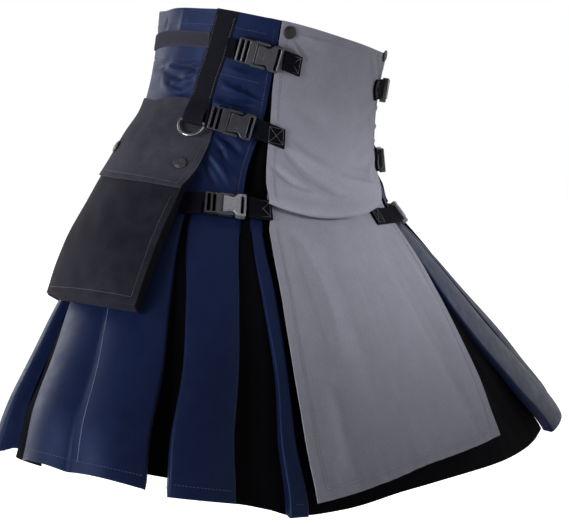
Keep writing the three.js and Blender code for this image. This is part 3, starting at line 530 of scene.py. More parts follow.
def hard_material(name, colour, roughness, metallic=0.0, coat=0.0, specular=0.5, wear=0.5):
    material, tree, shader = base_material(name, colour, roughness, specular)
    shader.inputs["Metallic"].default_value = metallic
    shader.inputs["Coat Weight"].default_value = coat
    patch = noise(tree, 120)
    tree.links.new(ramp(tree, patch, roughness - 0.06, roughness + 0.06), shader.inputs["Roughness"])
    colour_by(tree, shader, colour, total(tree, ramp(tree, patch, 0.88, 1.12), worn_edge(tree, wear)))
    relief(tree, shader, noise(tree, 1400), 0.02, 0.0002)
    return material


# The navy is darkened towards its hem, and the grey towards its waist and its hem, as painted shade.
NAVY = cloth_material("navy_cotton", (0.0015, 0.0033, 0.0145), 0.52, 0.1, 0.16, sheen=0.012,
                      tint=(0.4, 0.55, 1), shine=0.1, foot=0.7)
NAVY_INSIDE = cloth_material("navy_inside", (0.0012, 0.0016, 0.005), 0.8, 0.1, 0.2, sheen=0.0)
BLACK = cloth_material("black_cotton", (0.0008, 0.0008, 0.0012), 0.9, 0.15, 0.3, sheen=0.0, shine=0.015)
GREY = cloth_material("grey_twill", (0.087, 0.087, 0.1065), 0.85, 0.045, 0.14, sheen=0.04, bump=0.2,
                      wear=0.12, painted_waist_shade=0.8, foot=0.8)
# The pocket and its flap are one canvas; the flap's copy is lighter and the pocket's darker, as painted light
# and shade.
CANVAS = cloth_material("pocket_canvas", (0.0048, 0.0048, 0.0078), 0.82, 0.32, 0.35, weave=0.0014,
                        sheen=0.01, bump=0.3)
# A darker copy of the pocket canvas for the pocket's bellows and its inside: painted shade.
BELLOWS_PAINTED_SHADE = cloth_material("bellows_painted_shade", (0.002, 0.002, 0.003), 0.85, 0.2, 0.3, sheen=0.0)
FLAP_CANVAS_PAINTED_LIGHT = cloth_material("flap_canvas", (0.0125, 0.0125, 0.0175), 0.82, 0.2, 0.35, weave=0.0014,
                             sheen=0.01, bump=0.3)
STRAP = webbing_material("webbing", (0.0012, 0.0012, 0.0024))
HANGER = webbing_material("hanger_webbing", (0.0032, 0.0032, 0.0048))
BAND = webbing_material("band_webbing", (0.0115, 0.0115, 0.0165))
PLASTIC = hard_material("buckle_plastic", (0.0055, 0.0055, 0.008), 0.36, coat=0.08, specular=0.3)
# A lighter, glossier copy of the buckle plastic, a painted highlight for the bottom buckle's female half.
PLASTIC_PAINTED_HIGHLIGHT = hard_material("buckle_plastic_painted_highlight", (0.04, 0.04, 0.048), 0.3, coat=0.4)
GUNMETAL = hard_material("snap_gunmetal", (0.012, 0.012, 0.015), 0.4, metallic=0.2, specular=0.3)
SNAP_BLACK = hard_material("snap_black", (0.003, 0.003, 0.0045), 0.45, specular=0.15, wear=1.5)
NICKEL = hard_material("ring_nickel", (0.11, 0.11, 0.115), 0.28, metallic=1.0)
THREAD_NAVY = hard_material("navy_thread", (0.004, 0.007, 0.026), 0.8)
# The crease stitching of the side pleats is real; its pale thread is a painted highlight along the crease.
THREAD_PAINTED_HIGHLIGHT = hard_material("thread_painted_highlight", (0.045, 0.06, 0.13), 0.7)
THREAD_BLACK = hard_material("black_thread", (0.012, 0.012, 0.015), 0.7)
THREAD_GREY = hard_material("grey_thread", (0.09, 0.09, 0.11), 0.8)


# Yoke
def strap_on(side, strap):
    return strap if side < 0 else strap | {"down": strap["down"] + LEFT_LOWER[strap["name"]]}


def under_webbing(angle, down):
    """How high a crease may rise without meeting the webbing that lies over it."""
    side = np.abs(angle)
    past_hanger = np.abs(np.radians(side - hanger_angle(down)) * section["half"](down)) - WEBBING / 2
    limit = 1.2 + 3 * smooth((past_hanger - 1) / 6)
    for strap in STRAPS:
        middle = strap["down"] + np.where(angle > 0, LEFT_LOWER[strap["name"]], 0)
        past_strap = np.maximum(np.abs(down - middle) - WEBBING / 2, (side - strap["root"]) * 3)
        limit = np.minimum(limit, 0.3 + strap["base"] + 4 * smooth((past_strap - 1) / 6))
    return limit


def yoke_lift(angle, down):
    signed = np.mod(np.asarray(angle) + 180, 360) - 180
    lift = creases(YOKE_CREASES, signed, down) + creases(mirrored(YOKE_CREASES, 0.85), signed, down)
    turned = np.where(signed > 0, signed - 360, signed)
    lift = YOKE_DEPTH * lift + BACK_DEPTH * creases(BACK_CREASES, turned, down)
    lift = np.minimum(lift, under_webbing(signed, down))
    lift = np.maximum(lift, YOKE_TROUGH + 3.3 * smooth((down - 185) / 14))
    seam = -0.9 * np.exp(-((down - YOKE_SEAM - 3 * np.cos(np.radians(signed))) / 1.6) ** 2)
    band = 0.5 * smooth((30 - down) / 3) * smooth((down + 20) / 3)
    return lift + seam + band + 0.18 * waves(np.radians(signed) * 170, down, 46, 11)


yoke_edge = reader([-20, 60, 110, 150, 185, 220], [36.6, 36.3, 36.9, 39.6, 41.5, 42])


def build_yoke():
    v = np.linspace(0, 1, 80)[:, None]
    u = np.linspace(0, 1, 320)[None, :]
    edge = yoke_edge(mix(-10, FELL, v))
    angle = mix(edge - 360, -edge, u)
    down = mix(waist_top(angle), FELL, v)
    points = place(angle, down, yoke_lift(angle, down))
    cloth("cloth_yoke", points, [NAVY, NAVY_INSIDE])


def build_under_apron():
    edge_down = [-20, 185, 215, 240, 330, 440, 560]
    right = reader(edge_down, [41, 48, 46.5, 46, 45, 44.6, 44.4])
    left = reader(edge_down, [41, 48, 40, 36, 35.5, 38, 41])
    v = np.linspace(0, 1, 100)[:, None]
    u = np.linspace(0, 1, 120)[None, :]
    level = mix(-9, 554, v)
    angle = mix(-right(level), left(level), u)
    hem = reader([-45, -40, -35, -30, -21.5, -8.5, 4.5, 25, 41],
                 [550, 551, 556, 564, 562, 555, 554, 556, 554])
    down = level + (waist_top(angle) + 9) * (1 - smooth((level + 9) / 120))
    down = down + (hem(angle) - 554) * smooth((level - 420) / 134)
    soft = 0.5 * waves(angle * 5, down, 60, 5) * smooth((down - 230) / 120)
    lift = creases(UNDER_CREASES, angle, down) + soft
    sunk = 4 * smooth((np.abs(angle) - 34) / 4) * (1 - smooth((down - 185) / 25))
    points = place(angle, down, -fold_depth(12, down) - 0.8 - sunk + np.minimum(lift, 1.5))
    cloth("cloth_under_apron", points, [BLACK])


# Pleats and the dark cloth between them
def pleat_span(pleat, down):
    inner = reader(EDGE_DOWN, pleat["inner"])(down)
    outer = reader(EDGE_DOWN, pleat["outer"])(down)
    if pleat["side"] < 0:
        return -outer, -inner, pleat["fold_out"], pleat["fold_in"]
    return inner, outer, pleat["fold_in"], pleat["fold_out"]


def pleat_crown(pleat, u, down):
    opened = np.clip((down - FELL) / (HEM - FELL), 0, 1)
    halves = 2 if pleat["crown"] > 4 else 1
    return PLEAT_FULLNESS * pleat["crown"] * opened * np.abs(np.sin(np.pi * u * halves)) ** 0.8


def pleat_out(pleat, u, angle, down):
    swing = 1.1 * waves(angle * 4.5, down, 150, 40 + PLEATS.index(pleat), 5) * smooth((down - FELL) / 200)
    return pleat_crown(pleat, u, down) + swing * np.sin(np.pi * u) ** 0.6


def build_pleat(index, pleat):
    down = np.linspace(FELL + 0.4, pleat["hem"], 88)[:, None]
    start, end, fold_start, fold_end = pleat_span(pleat, down)
    round_by = 2.6
    corner = np.array([0.0, 0.12, 0.35, 0.7, 1.0])
    corner_out = round_by * (np.sqrt(1 - (1 - corner) ** 2) - 1)
    edge_start = start + turn(round_by, start, down) * corner[None, :]
    edge_end = end - turn(round_by, end, down) * corner[None, ::-1]
    face = mix(edge_start[:, -1:], edge_end[:, :1], np.linspace(0, 1, 50)[None, 1:-1])
    angle = np.concatenate([start, start, edge_start, face, edge_end, end, end], axis=1)
    u = np.clip((angle - start) / (end - start), 0, 1)
    out = pleat_out(pleat, u, angle, down) - 0.35 * np.exp(-((down - pleat["hem"] + HEM_STITCH) / 1.4) ** 2)
    ones = np.ones_like(down)
    columns = np.concatenate([-fold_depth(fold_start, down), -0.5 * fold_depth(fold_start, down) - 1.3,
                              corner_out * ones, np.zeros((len(down), 48)), corner_out[::-1] * ones,
                              -0.5 * fold_depth(fold_end, down) - 1.3, -fold_depth(fold_end, down)], axis=1)
    hem_wave = 1.2 * waves(angle * 4.5, 0 * down, 70, 60 + index, 4) * smooth((down - 500) / 50)
    opened = np.clip((down - FELL) / (HEM - FELL), 0, 1)
    tucked = 0.62 * np.minimum(columns + 3, 0) * opened
    flare = 9 * smooth((down - 400) / 150) if pleat["name"] == "side_front_pleat_left" else 0
    points = place(angle, down - np.abs(hem_wave) + tucked, out + columns + flare)
    cloth("cloth_" + pleat["name"], points, [NAVY, NAVY_INSIDE])


def build_inset(index, name, from_name, to_name, fold, hem):
    spans = {pleat["name"]: pleat for pleat in PLEATS}
    down = np.linspace(FELL - 4, hem, 70)[:, None]
    start = pleat_span(spans[from_name], down)[1]
    following = pleat_span(spans[to_name], down)[0]
    end = np.where(following < start, following + 360, following)
    reach = turn(5, start, down)
    angle = mix(start - reach, end + reach, np.linspace(0, 1, 40)[None, :])
    lift = 1.4 * waves(angle * 5, down * 0.4, 42, 80 + index) * smooth((down - FELL - 20) / 150)
    points = place(angle, down, -fold_depth(fold, down) - 0.8 + np.clip(lift, -3, 0.4))
    cloth("cloth_" + name, points, [BLACK])


# The grey apron
apron_steps = np.hypot(np.diff(APRON_DOWN), np.diff(APRON_OUT))
apron_run = np.concatenate([[0], np.cumsum(apron_steps)])
apron_down = reader(apron_run, APRON_DOWN)
apron_out_at = reader(apron_run, APRON_OUT)
apron_lift = reader(apron_run, APRON_LIFT)
APRON_FOLD = float(apron_run[11])
APRON_BACK = float(apron_run[17])


def apron_crease(angle, down, run):
    upper = APRON_DEPTH * creases(APRON_UPPER_CREASES, angle, down) * smooth((APRON_FOLD - run) / 14)
    lower = APRON_DEPTH * creases(APRON_LOWER_CREASES, angle, down) * smooth((run - APRON_BACK) / 30)
    return upper + lower


def apron_rise(u):
    return np.where(u < 0.36, 0.4 * ((0.36 - u) / 0.36) ** 2, ((u - 0.36) / 0.64) ** 2)


def apron_flat(u):
    return mix(1, np.where(u < 0.5, 0.72, 0.25), (2 * u - 1) ** 2)


def apron_place(run, u, extra):
    run, u = np.broadcast_arrays(np.asarray(run, float), np.asarray(u, float))
    row_down = apron_down(run)
    angle = mix(-apron_right(row_down), apron_left(row_down), u)
    angle = angle * (1 - 0.05 * smooth((run - APRON_FOLD) / 8) * (1 - smooth((run - APRON_BACK) / 25)))
    flat = np.where(run > APRON_BACK, 1, apron_flat(u))
    down = row_down - apron_lift(run) * apron_rise(u)
    top = smooth((22 - run) / 22)
    down = down + (waist_top(angle) + 8.2) * top
    hem = np.interp(u, [0, 0.5, 1], APRON_HEM)
    low = smooth((run - apron_run[-3]) / (apron_run[-1] - apron_run[-3]))
    down = down + (hem - APRON_DOWN[-1]) * low
    out = (apron_out_at(run) - 2.6) * flat + 2.6
    return angle, down, out + extra


def apron_points(run, u, extra=0.0):
    angle, down, out = apron_place(run, u, extra)
    run = np.broadcast_to(run, angle.shape)
    lift = apron_crease(angle, down, run)
    pucker = 1.5 * np.abs(waves(angle * 4.2, 0 * down, 17, 7, 5)) * smooth((run - apron_run[-1] + 46) / 30)
    rim = np.minimum(np.minimum(u, 1 - u) * 260, (apron_run[-1] - run))
    hem = 0.45 * smooth((13 - rim) / 3) - 0.5 * np.exp(-((rim - APRON_STITCH) / 1.3) ** 2)
    soft = 0.3 * waves(angle * 3.2, down, 70, 21)
    ease = 1 - 0.75 * np.exp(-((run - APRON_FOLD) / 12) ** 2)
    return place(angle, down, out + np.maximum(lift * ease, -1.6 - 0.1 * out) + (hem - pucker + soft) * ease)


def build_apron():
    upper = np.linspace(0, apron_run[8], 90)[:-1]
    lip = np.linspace(apron_run[8], apron_run[18], 80)[:-1]
    lower = np.linspace(apron_run[18], apron_run[-1], 130)
    run = np.concatenate([upper, lip, lower])[:, None]
    u = np.linspace(0, 1, 140)[None, :]
    cloth("cloth_front_apron", apron_points(run, u), [GREY], thick=1.7)


def apron_out(angle, down):
    angle, down = np.broadcast_arrays(np.asarray(angle, float), np.asarray(down, float))
    upper = np.mean(down) < 195
    part = slice(0, 9) if upper else slice(15, None)
    right = apron_right(down)
    u = (angle + right) / (right + apron_left(down))
    rise = apron_rise(u)
    values = np.empty(down.shape)
    for index in np.ndindex(down.shape):
        rows = np.array(APRON_DOWN[part]) - np.array(APRON_LIFT[part]) * rise[index]
        values[index] = np.interp(down[index], rows, APRON_OUT[part])
    flat = np.where(down > 225, 1, apron_flat(u))
    rows = APRON_UPPER_CREASES if upper else APRON_LOWER_CREASES
    return (values - 2.6) * flat + 2.6 + np.maximum(APRON_DEPTH * creases(rows, angle, down), 0)


# Webbing
def strip_points(angles, line, out_at, width):
    offsets = np.linspace(-width / 2, width / 2, 9)[:, None]
    angle = angles[None, :] + 0 * offsets
    down = line + offsets
    rounding = -0.35 * np.clip((np.abs(offsets) - width / 2 + 0.8) / 0.8, 0, 1)
    return place(angle, down, out_at(angle, down) + rounding)


def build_waist_band():
    start = 68.9
    angles = np.linspace(start, 360 - start, 240)
    line = reader([start, 95, 120, 180], [28.5, 35, 43, 49])(np.minimum(angles, 360 - angles))

    def out_at(angle, down):
        return 0.8 + WEBBING_THICK + np.clip(yoke_lift(angle, down), -0.4, 0.8)

    points = strip_points(angles, line, out_at, 20)
    cloth("cloth_waist_band", points, [BAND], WEBBING_THICK - 0.2)


def pocket_out(side, v):
    """The left pocket is empty and lies flatter, as the photograph shows nothing of it past the apron."""
    return pocket_at["out"](v) * (mix(1, 0.45, smooth((v - 0.05) / 0.3)) if side > 0 else 1)


def ring_frame(side):
    out = float(pocket_out(-1, 0.05)) + FLAP_OVER + 0.8 + WEBBING_THICK + LOOP_GAP + RING_WIRE
    middle = side * float(hanger_angle(RING_DOWN))
    centre = place(middle, RING_DOWN, out)
    across = unit(place(middle + 2, RING_DOWN, out) - place(middle - 2, RING_DOWN, out))
    outward = unit(place(middle, RING_DOWN, out + 10) - centre)
    downward = unit(np.cross(across, outward))
    return centre, across, outward, downward


def build_hanger(side, label):
    down = np.concatenate([np.linspace(float(waist_top(side * 61)), 96, 60), [100, 104, 108]])
    out = np.concatenate([np.full(60, 2.2), [2.6, 3.5, 4.8]])
    offsets = np.linspace(-WEBBING / 2, WEBBING / 2, 9)
    middle = side * hanger_angle(down)[:, None]
    angle = middle + turn(offsets[None, :], middle, down[:, None])
    lift = np.clip(yoke_lift(angle, down[:, None]), -0.5, 0.8) * smooth((100 - down[:, None]) / 10)
    rounding = -0.35 * np.clip((np.abs(offsets) - WEBBING / 2 + 0.8) / 0.8, 0, 1)[None, :]
    rows = [place(angle, down[:, None], out[:, None] + lift + rounding)]
    centre, across, outward, downward = ring_frame(side)
    radius = RING_WIRE + LOOP_GAP + WEBBING_THICK
    path = [(radius - 0.8, -12.0), (radius - 0.2, -6.0)]
    path += [(radius * math.cos(bend), radius * math.sin(bend)) for bend in np.linspace(0, math.pi, 19)]
    path += [(-radius, -3.5), (-radius, -7.0)]
    for forward, below in path:
        point = centre + outward * forward + downward * below
        rows.append((point + across * offsets[:, None])[None])
    points = np.concatenate(rows)
    cloth("cloth_hanger_strap_" + label, points, [HANGER], WEBBING_THICK - 0.2)


# Hard parts
def tube(path, radius, sides):
    """A closed tube round a flat loop of points."""
    path = np.asarray(path, float)
    tangent = unit(np.roll(path, -1, axis=0) - np.roll(path, 1, axis=0))
    flat = unit(np.cross(path[0] - path.mean(axis=0), path[len(path) // 4] - path.mean(axis=0)))
    outward = unit(np.cross(tangent, flat))
    bend = np.linspace(0, 2 * math.pi, sides, endpoint=False)
    ring = outward[:, None] * np.cos(bend)[None, :, None] + flat * np.sin(bend)[None, :, None]
    return (path[:, None] + radius * ring).reshape(-1, 3), quads(len(path), sides, closed=True).tolist()


def build_ring(side, label):
    centre, across, outward, downward = ring_frame(side)
    tilt = math.radians(RING_TILT)
    hang = downward * math.cos(tilt) + outward * math.sin(tilt)
    half = RING_INNER / 2 + RING_WIRE
    corner = 3.4
    flat = [(x, 0.0) for x in np.linspace(-half * 0.82, half * 0.82, 16)]
    arc = [(half * math.cos(b), corner + (RING_DROP - corner) * math.sin(b))
           for b in np.radians(np.linspace(-8, 188, 60))]
    path = [centre + across * x + hang * y for x, y in flat + arc]
    points, faces = tube(path, RING_WIRE, 20)
    mesh = make_mesh("d_ring_wire_" + label, points, faces)
    add_piece(mesh.name, mesh, [NICKEL], ["d_ring_" + label], "d_ring_" + label)


def plate(name, outline, holes, low, high, bevel):
    """A bevelled plate in its own x and y, from z low to high, as a mesh in millimetres."""
    curve = bpy.data.curves.new(name, "CURVE")
    curve.dimensions = "2D"
    curve.fill_mode = "BOTH"
    for loop in [outline, *holes]:
        spline = curve.splines.new("POLY")
        spline.points.add(len(loop) - 1)
        for point, (x, y) in zip(spline.points, loop):
            point.co = (x, y, 0, 1)
        spline.use_cyclic_u = True
    curve.extrude = (high - low) / 2 - bevel
    curve.bevel_depth = bevel
    curve.bevel_resolution = 3
    curve.offset = -bevel
    holder = bpy.data.objects.new(name, curve)
    mesh = bpy.data.meshes.new_from_object(holder)
    mesh.transform(Matrix.Translation((0, 0, (low + high) / 2)))
    bpy.data.objects.remove(holder)
    bpy.data.curves.remove(curve)
    return mesh


def box_loop(x0, x1, y0, y1, radius):
    loop = []
    for cx, cy, start in ((x1 - radius, y0 + radius, -90), (x1 - radius, y1 - radius, 0),
                          (x0 + radius, y1 - radius, 90), (x0 + radius, y0 + radius, 180)):
        for bend in np.radians(np.linspace(start, start + 90, 5)):
            loop.append((cx + radius * math.cos(bend), cy + radius * math.sin(bend)))
    return loop


def joined(name, meshes, transform):
    verts = []
    faces = []
    for mesh in meshes:
        start = len(verts)
        verts += [tuple(transform @ v.co) for v in mesh.vertices]
        faces += [[start + i for i in p.vertices] for p in mesh.polygons]
        bpy.data.meshes.remove(mesh)
    made = make_mesh(name, np.array(verts), faces)
    made.set_sharp_from_angle(angle=math.radians(35))
    return made


def buckle_frame(strap, side):
    half = strap["length"] / 2
    down = strap["down"]
    middle = strap["near"] + float(turn(half, side * strap["near"], down))
    centre = place(side * middle, down, strap["stand"])
    forward = unit(place(side * (middle - 3), down, strap["stand"])
                   - place(side * (middle + 3), down, strap["stand"]))
    outward = unit(place(side * middle, down, strap["stand"] + 10) - centre)
    up = unit(np.cross(outward, forward))
    tilt = strap["slope"] * -side
    forward, up = unit(forward - up * tilt), unit(up + forward * tilt)
    return centre, forward, up, outward, middle


def female_meshes(length):
    half = BUCKLE_WIDTH / 2
    core = half - 4.4
    upper = [(0, core), (length * 0.16, core), (length * 0.3, core - 1.0), (length * 0.4, core - 1.3),
             (length * 0.48, core - 0.6), (length * 0.55, half - 2.4), (length * 0.6, half - 0.9),
             (length * 0.68, half - 0.1), (length * 0.8, half), (length - 2, half),
             (length - 0.6, half - 0.6), (length, half - 2)]
    lower = [(x, -y) for x, y in reversed(upper)]
    slot = box_loop(length - 6.2, length - 2.8, -12.9, 12.9, 0.8)
    body = plate("body", lower + upper, [slot], 0, BUCKLE_THICK, 1.2)
    rim = plate("rim", box_loop(0.2, 2.2, -core + 0.6, core - 0.6, 0.6), [], 1, BUCKLE_THICK + 0.1, 0.4)
    pad = plate("pad", box_loop(length * 0.3, length * 0.62, -6.5, 6.5, 2.5), [], BUCKLE_THICK - 1,
                BUCKLE_THICK + 0.35, 0.3)
    return [body, rim, pad]


def male_meshes(length, reach):
    half = 14.5
    arm = BUCKLE_WIDTH / 2 - 0.3
    arm_in = BUCKLE_WIDTH / 2 - 3.9
    tip = reach * 0.46
    upper = [(-0.5, arm_in), (tip * 0.8, arm_in), (tip, arm_in + 0.6), (tip + 0.9, arm_in + 1.8),
             (tip - 0.2, arm - 0.4), (tip - 2, arm), (-3, arm), (-5, half), (-length + 1.5, half),
             (-length + 0.4, half - 0.4), (-length, half - 1.5)]
    lower = [(x, -y) for x, y in reversed(upper)]
    first = box_loop(-length + 3, -length + 6.6, -12.9, 12.9, 0.6)
    second = box_loop(-length + 9.6, -length + 13, -12.9, 12.9, 0.6)
    low = (BUCKLE_THICK - LADDER_THICK) / 2
    body = plate("body", upper + lower, [first, second], low, low + LADDER_THICK, 0.8)
    bars = []
    for x in (-length + 1.5, -length + 8.1):
        loop = box_loop(x - 1.1, x + 1.1, -12.8, 12.8, 0.5)
        bars.append(plate("bar", loop, [], low + 1, low + LADDER_THICK + 1.1, 0.8))
    ridge = plate("ridge", box_loop(-1.9, -0.5, -11.4, 11.4, 0.4), [], low + 1, BUCKLE_THICK, 0.4)
    return [body, *bars, ridge]


def build_buckle(strap, side, label):
    centre, forward, up, outward = buckle_frame(strap, side)[:4]
    length = strap["length"]
    female = length * FEMALE_SHARE
    origin = centre + forward * (length / 2 - female)
    basis = Matrix(np.column_stack([forward, up, outward]).tolist()).to_4x4()
    transform = Matrix.Translation(Vector(origin)) @ basis
    moved = transform @ Matrix.Translation((-BUCKLE_GAP, 0, 0))
    # The bottom buckle's female half takes the lighter copy of the plastic as a painted highlight.
    painted_highlight_plastic = PLASTIC_PAINTED_HIGHLIGHT if strap["name"] == "bottom" else PLASTIC
    for kind, meshes, placed, material in (
            ("female", female_meshes(female), transform, painted_highlight_plastic),
            ("male", male_meshes(length - female - BUCKLE_GAP, female), moved, PLASTIC)):
        name = f"{strap['name']}_buckle_{kind}_{label}"
        add_piece("finished_" + name, joined(name, meshes, placed), [material], [name])


def build_strap(strap, side, label):
    middle = buckle_frame(strap, side)[4]
    down = strap["down"]
    reach = float(turn(strap["length"] / 2 + strap["clear"], side * middle, down))
    far = middle + reach
    near = middle - reach
    thick = 2 * WEBBING_THICK
    bar = strap["stand"] + BUCKLE_THICK / 2 + thick / 2
    tip = strap["tip"][0 if side < 0 else 1]

    def base_out(angle, down):
        t = np.clip((strap["root"] - np.abs(angle)) / (strap["root"] - far), 0, 1)
        return mix(strap["base"] + thick, bar, t ** 1.5)

    def tab_out(angle, down):
        t = np.clip((near - np.abs(angle)) / 6, 0, 1)
        return mix(bar + 1.2, apron_out(angle, down) + strap["lay"] + thick, t)

    for kind, start, end, out_at in (("strap", strap["root"], far, base_out), ("tab", near, tip, tab_out)):
        angles = np.sort(np.linspace(side * start, side * end, 40 if kind == "tab" else 16))
        lean = strap["drop"] if kind == "tab" else 0
        line = down + lean * (start - np.abs(angles)) / (start - end)
        points = strip_points(angles, line, out_at, WEBBING)
        name = strap["name"] + "_" + kind + "_" + label
        cloth("cloth_" + name, points, [STRAP],
              thick - 0.3)


def build_returns(strap, side, label):
    """The webbing that shows through a buckle's slots, where it runs round the bars."""
    middle = buckle_frame(strap, side)[4]
    down = strap["down"]
    half = strap["length"] / 2
    for kind, far, near, out in (("strap", half - 0.4, half - 14, strap["stand"] + 1.3),
                                 ("tab", -half + 6.1, -half + 2.9, strap["stand"] + 5.6)):
        ends = [middle + float(turn(reach, side * middle, down)) for reach in (far, near)]
        angles = np.sort(np.linspace(side * ends[0], side * ends[1], 8))
        points = strip_points(angles, down, lambda angle, level, out=out: out, 24.6)
        cloth(f"webbing_{strap['name']}_{kind}_return_{label}", points, [STRAP],
              1.0, replaces=[])


# Pocket and flap
pocket_top_bow = reader([0, 0.12, 0.28, 0.54, 0.68, 1], [16, -6, -15.6, -8.3, -2.6, 0])
pocket_flap_bow = reader([0, 0.23, 0.52, 1], [16, 11, 7.4, 2])


def pocket_point(side, u, v, out):
    angle = mix(pocket_at["front"](v), pocket_at["rear"](v), u)
    down = mix(pocket_at["front_down"](v), pocket_at["rear_down"](v), u)
    down = down + pocket_top_bow(u) * (1 - smooth(np.asarray(v) / 0.3))
    above = smooth(v / FLAP_END)
    below = 1 - smooth((v - FLAP_END) / 0.6)
    down = down + pocket_flap_bow(u) * np.where(np.asarray(v) < FLAP_END, above, below)
    angle = angle + (7 * smooth((v - 0.1) / 0.25) if side > 0 else 0)
    return place(side * angle, down, out)


def pocket_crown(u, v):
    return 3 * np.sin(np.pi * np.clip(u, 0, 1)) * np.minimum(1, v * 2)


def pocket_relief(u, v, seed):
    x = u * POCKET_WIDTH
    y = v * POCKET_HEIGHT
    wide = 0.9 * waves(x, y, 90, seed, 5) + 0.45 * waves(x + y * 0.4, y * 0.5, 34, seed + 1, 6)
    return wide * np.sin(np.pi * np.clip(u, 0.02, 0.98)) ** 0.4


def pocket_edge(u, below):
    """How far in from the nearest edge a place lies, where below is its height above the foot."""
    return np.minimum(np.minimum(u, 1 - u) * POCKET_WIDTH, below * POCKET_HEIGHT)


def pocket_grid(side, u, v, out):
    points = pocket_point(side, np.broadcast_to(u, out.shape), np.broadcast_to(v, out.shape), out)
    return points[:, ::-1] if side < 0 else points


def build_pocket(side, label):
    v = np.concatenate([np.linspace(0.14, 0.985, 80), [0.993, 1.0]])[:, None]
    u = np.linspace(0, 1, 80)[None, :]
    front = pocket_out(side, v) + pocket_crown(u, v) + pocket_relief(u, v, 30 + side)
    rim = pocket_edge(u, 1 - v)
    front = front - 0.6 * np.exp(-((rim - 7) / 1.3) ** 2) + 0.3 * smooth((7 - rim) / 2)
    back = np.minimum(8.0, pocket_out(side, v) - 3.6)
    sides = [mix(back, front[:, :1], t) for t in (0, 0.3, 0.65, 0.93)]
    rears = [mix(front[:, -1:], back, t) for t in (0.07, 0.35, 0.7, 1.0)]
    out = np.concatenate([*sides, front, *rears], axis=1)
    floor = [mix(out[-1:], 8.0, t) for t in (0.12, 0.45, 0.75, 1.0)]
    out = np.concatenate([out, *floor])
    lines = np.concatenate([[0, 0.006, 0.005, 0.0], u[0], [1, 0.995, 0.994, 1.0]])[None, :]
    points = pocket_grid(side, lines, np.concatenate([v, np.full((4, 1), 1.0)]), out)
    # The bellows columns at both sides take the darker canvas, painted shade.
    dark = np.zeros(points.shape[1] - 1, int)
    dark[:4] = dark[-4:] = 1
    cloth("cloth_pocket_" + label, points, [CANVAS, BELLOWS_PAINTED_SHADE],
          dark=dark)


def build_flap(side, label):
    v = np.linspace(0, FLAP_END, 60)[:, None]
    u = np.linspace(0, 1, 90)[None, :]
    sag = 0.008 * np.sin(np.pi * u) * smooth(v / FLAP_END * 3 - 2)
    out = pocket_out(side, v) + FLAP_OVER + pocket_crown(u, v) + 0.6 * pocket_relief(u, v, 50 + side)
    rim = pocket_edge(u, FLAP_END - v)
    out = out - 0.5 * np.exp(-((rim - 6) / 1.1) ** 2) + 0.35 * smooth((6 - rim) / 2)
    points = pocket_grid(side, u, v + sag, out)
    # The flap takes the lighter copy of the canvas, painted light.
    cloth("cloth_pocket_flap_" + label, points, [FLAP_CANVAS_PAINTED_LIGHT])


# Snaps
def build_snap(name, point, normal, gap, material):
    radius = 7.8
    profile = [(0.0, 3.0), (radius * 0.3, 2.95), (radius * 0.56, 2.7), (radius * 0.72, 2.35),
               (radius * 0.78, 2.0), (radius * 0.82, 1.95), (radius * 0.93, 1.9), (radius, 1.2),
               (radius * 0.98, 0.5), (radius * 0.9, 0.0), (0.0, 0.0)]
    sides = 48
    normal = unit(normal)
    along = unit(np.cross(normal, [0.3, 0.2, 0.9]))
    side = np.cross(normal, along)
    base = point + normal * gap
    bend = np.linspace(0, 2 * math.pi, sides, endpoint=False)[:, None]
    round_by = along * np.cos(bend) + side * np.sin(bend)
    rings = [base + round_by * distance + normal * height for distance, height in profile[1:-1]]
    points = np.concatenate([[base + normal * profile[0][1]], *rings, [base]])
    last = 1 + (len(rings) - 1) * sides
    faces = [(0, 1 + k, 1 + (k + 1) % sides) for k in range(sides)]
    faces += (quads(len(rings), sides) + 1).tolist()
    faces += [(len(points) - 1, last + (k + 1) % sides, last + k) for k in range(sides)]
    mesh = make_mesh(name, points, faces)
    add_piece("finished_" + name, mesh, [material], [name])


def build_snaps(side, label):
    for name, u, v in (("front", 0.115, 0.243), ("rear", 0.88, 0.255)):
        def at(s, t):
            return pocket_point(side, s, t, float(pocket_out(side, t) + FLAP_OVER + pocket_crown(s, t)))

        across = (at(u + 0.05, v) - at(u - 0.05, v)) * side
        along = at(u, v + 0.03) - at(u, v - 0.03)
        build_snap(f"pocket_snap_{name}_{label}", at(u, v), np.cross(along, across), 0.8, GUNMETAL)
    angle = side * 32.1
    out = float(apron_out(np.array([angle]), np.array([-0.5]))[0])
    point = place(angle, -0.5, out)
    build_snap("apron_snap_" + label, point, place(angle, -0.5, out + 5) - point, 0.5, SNAP_BLACK)


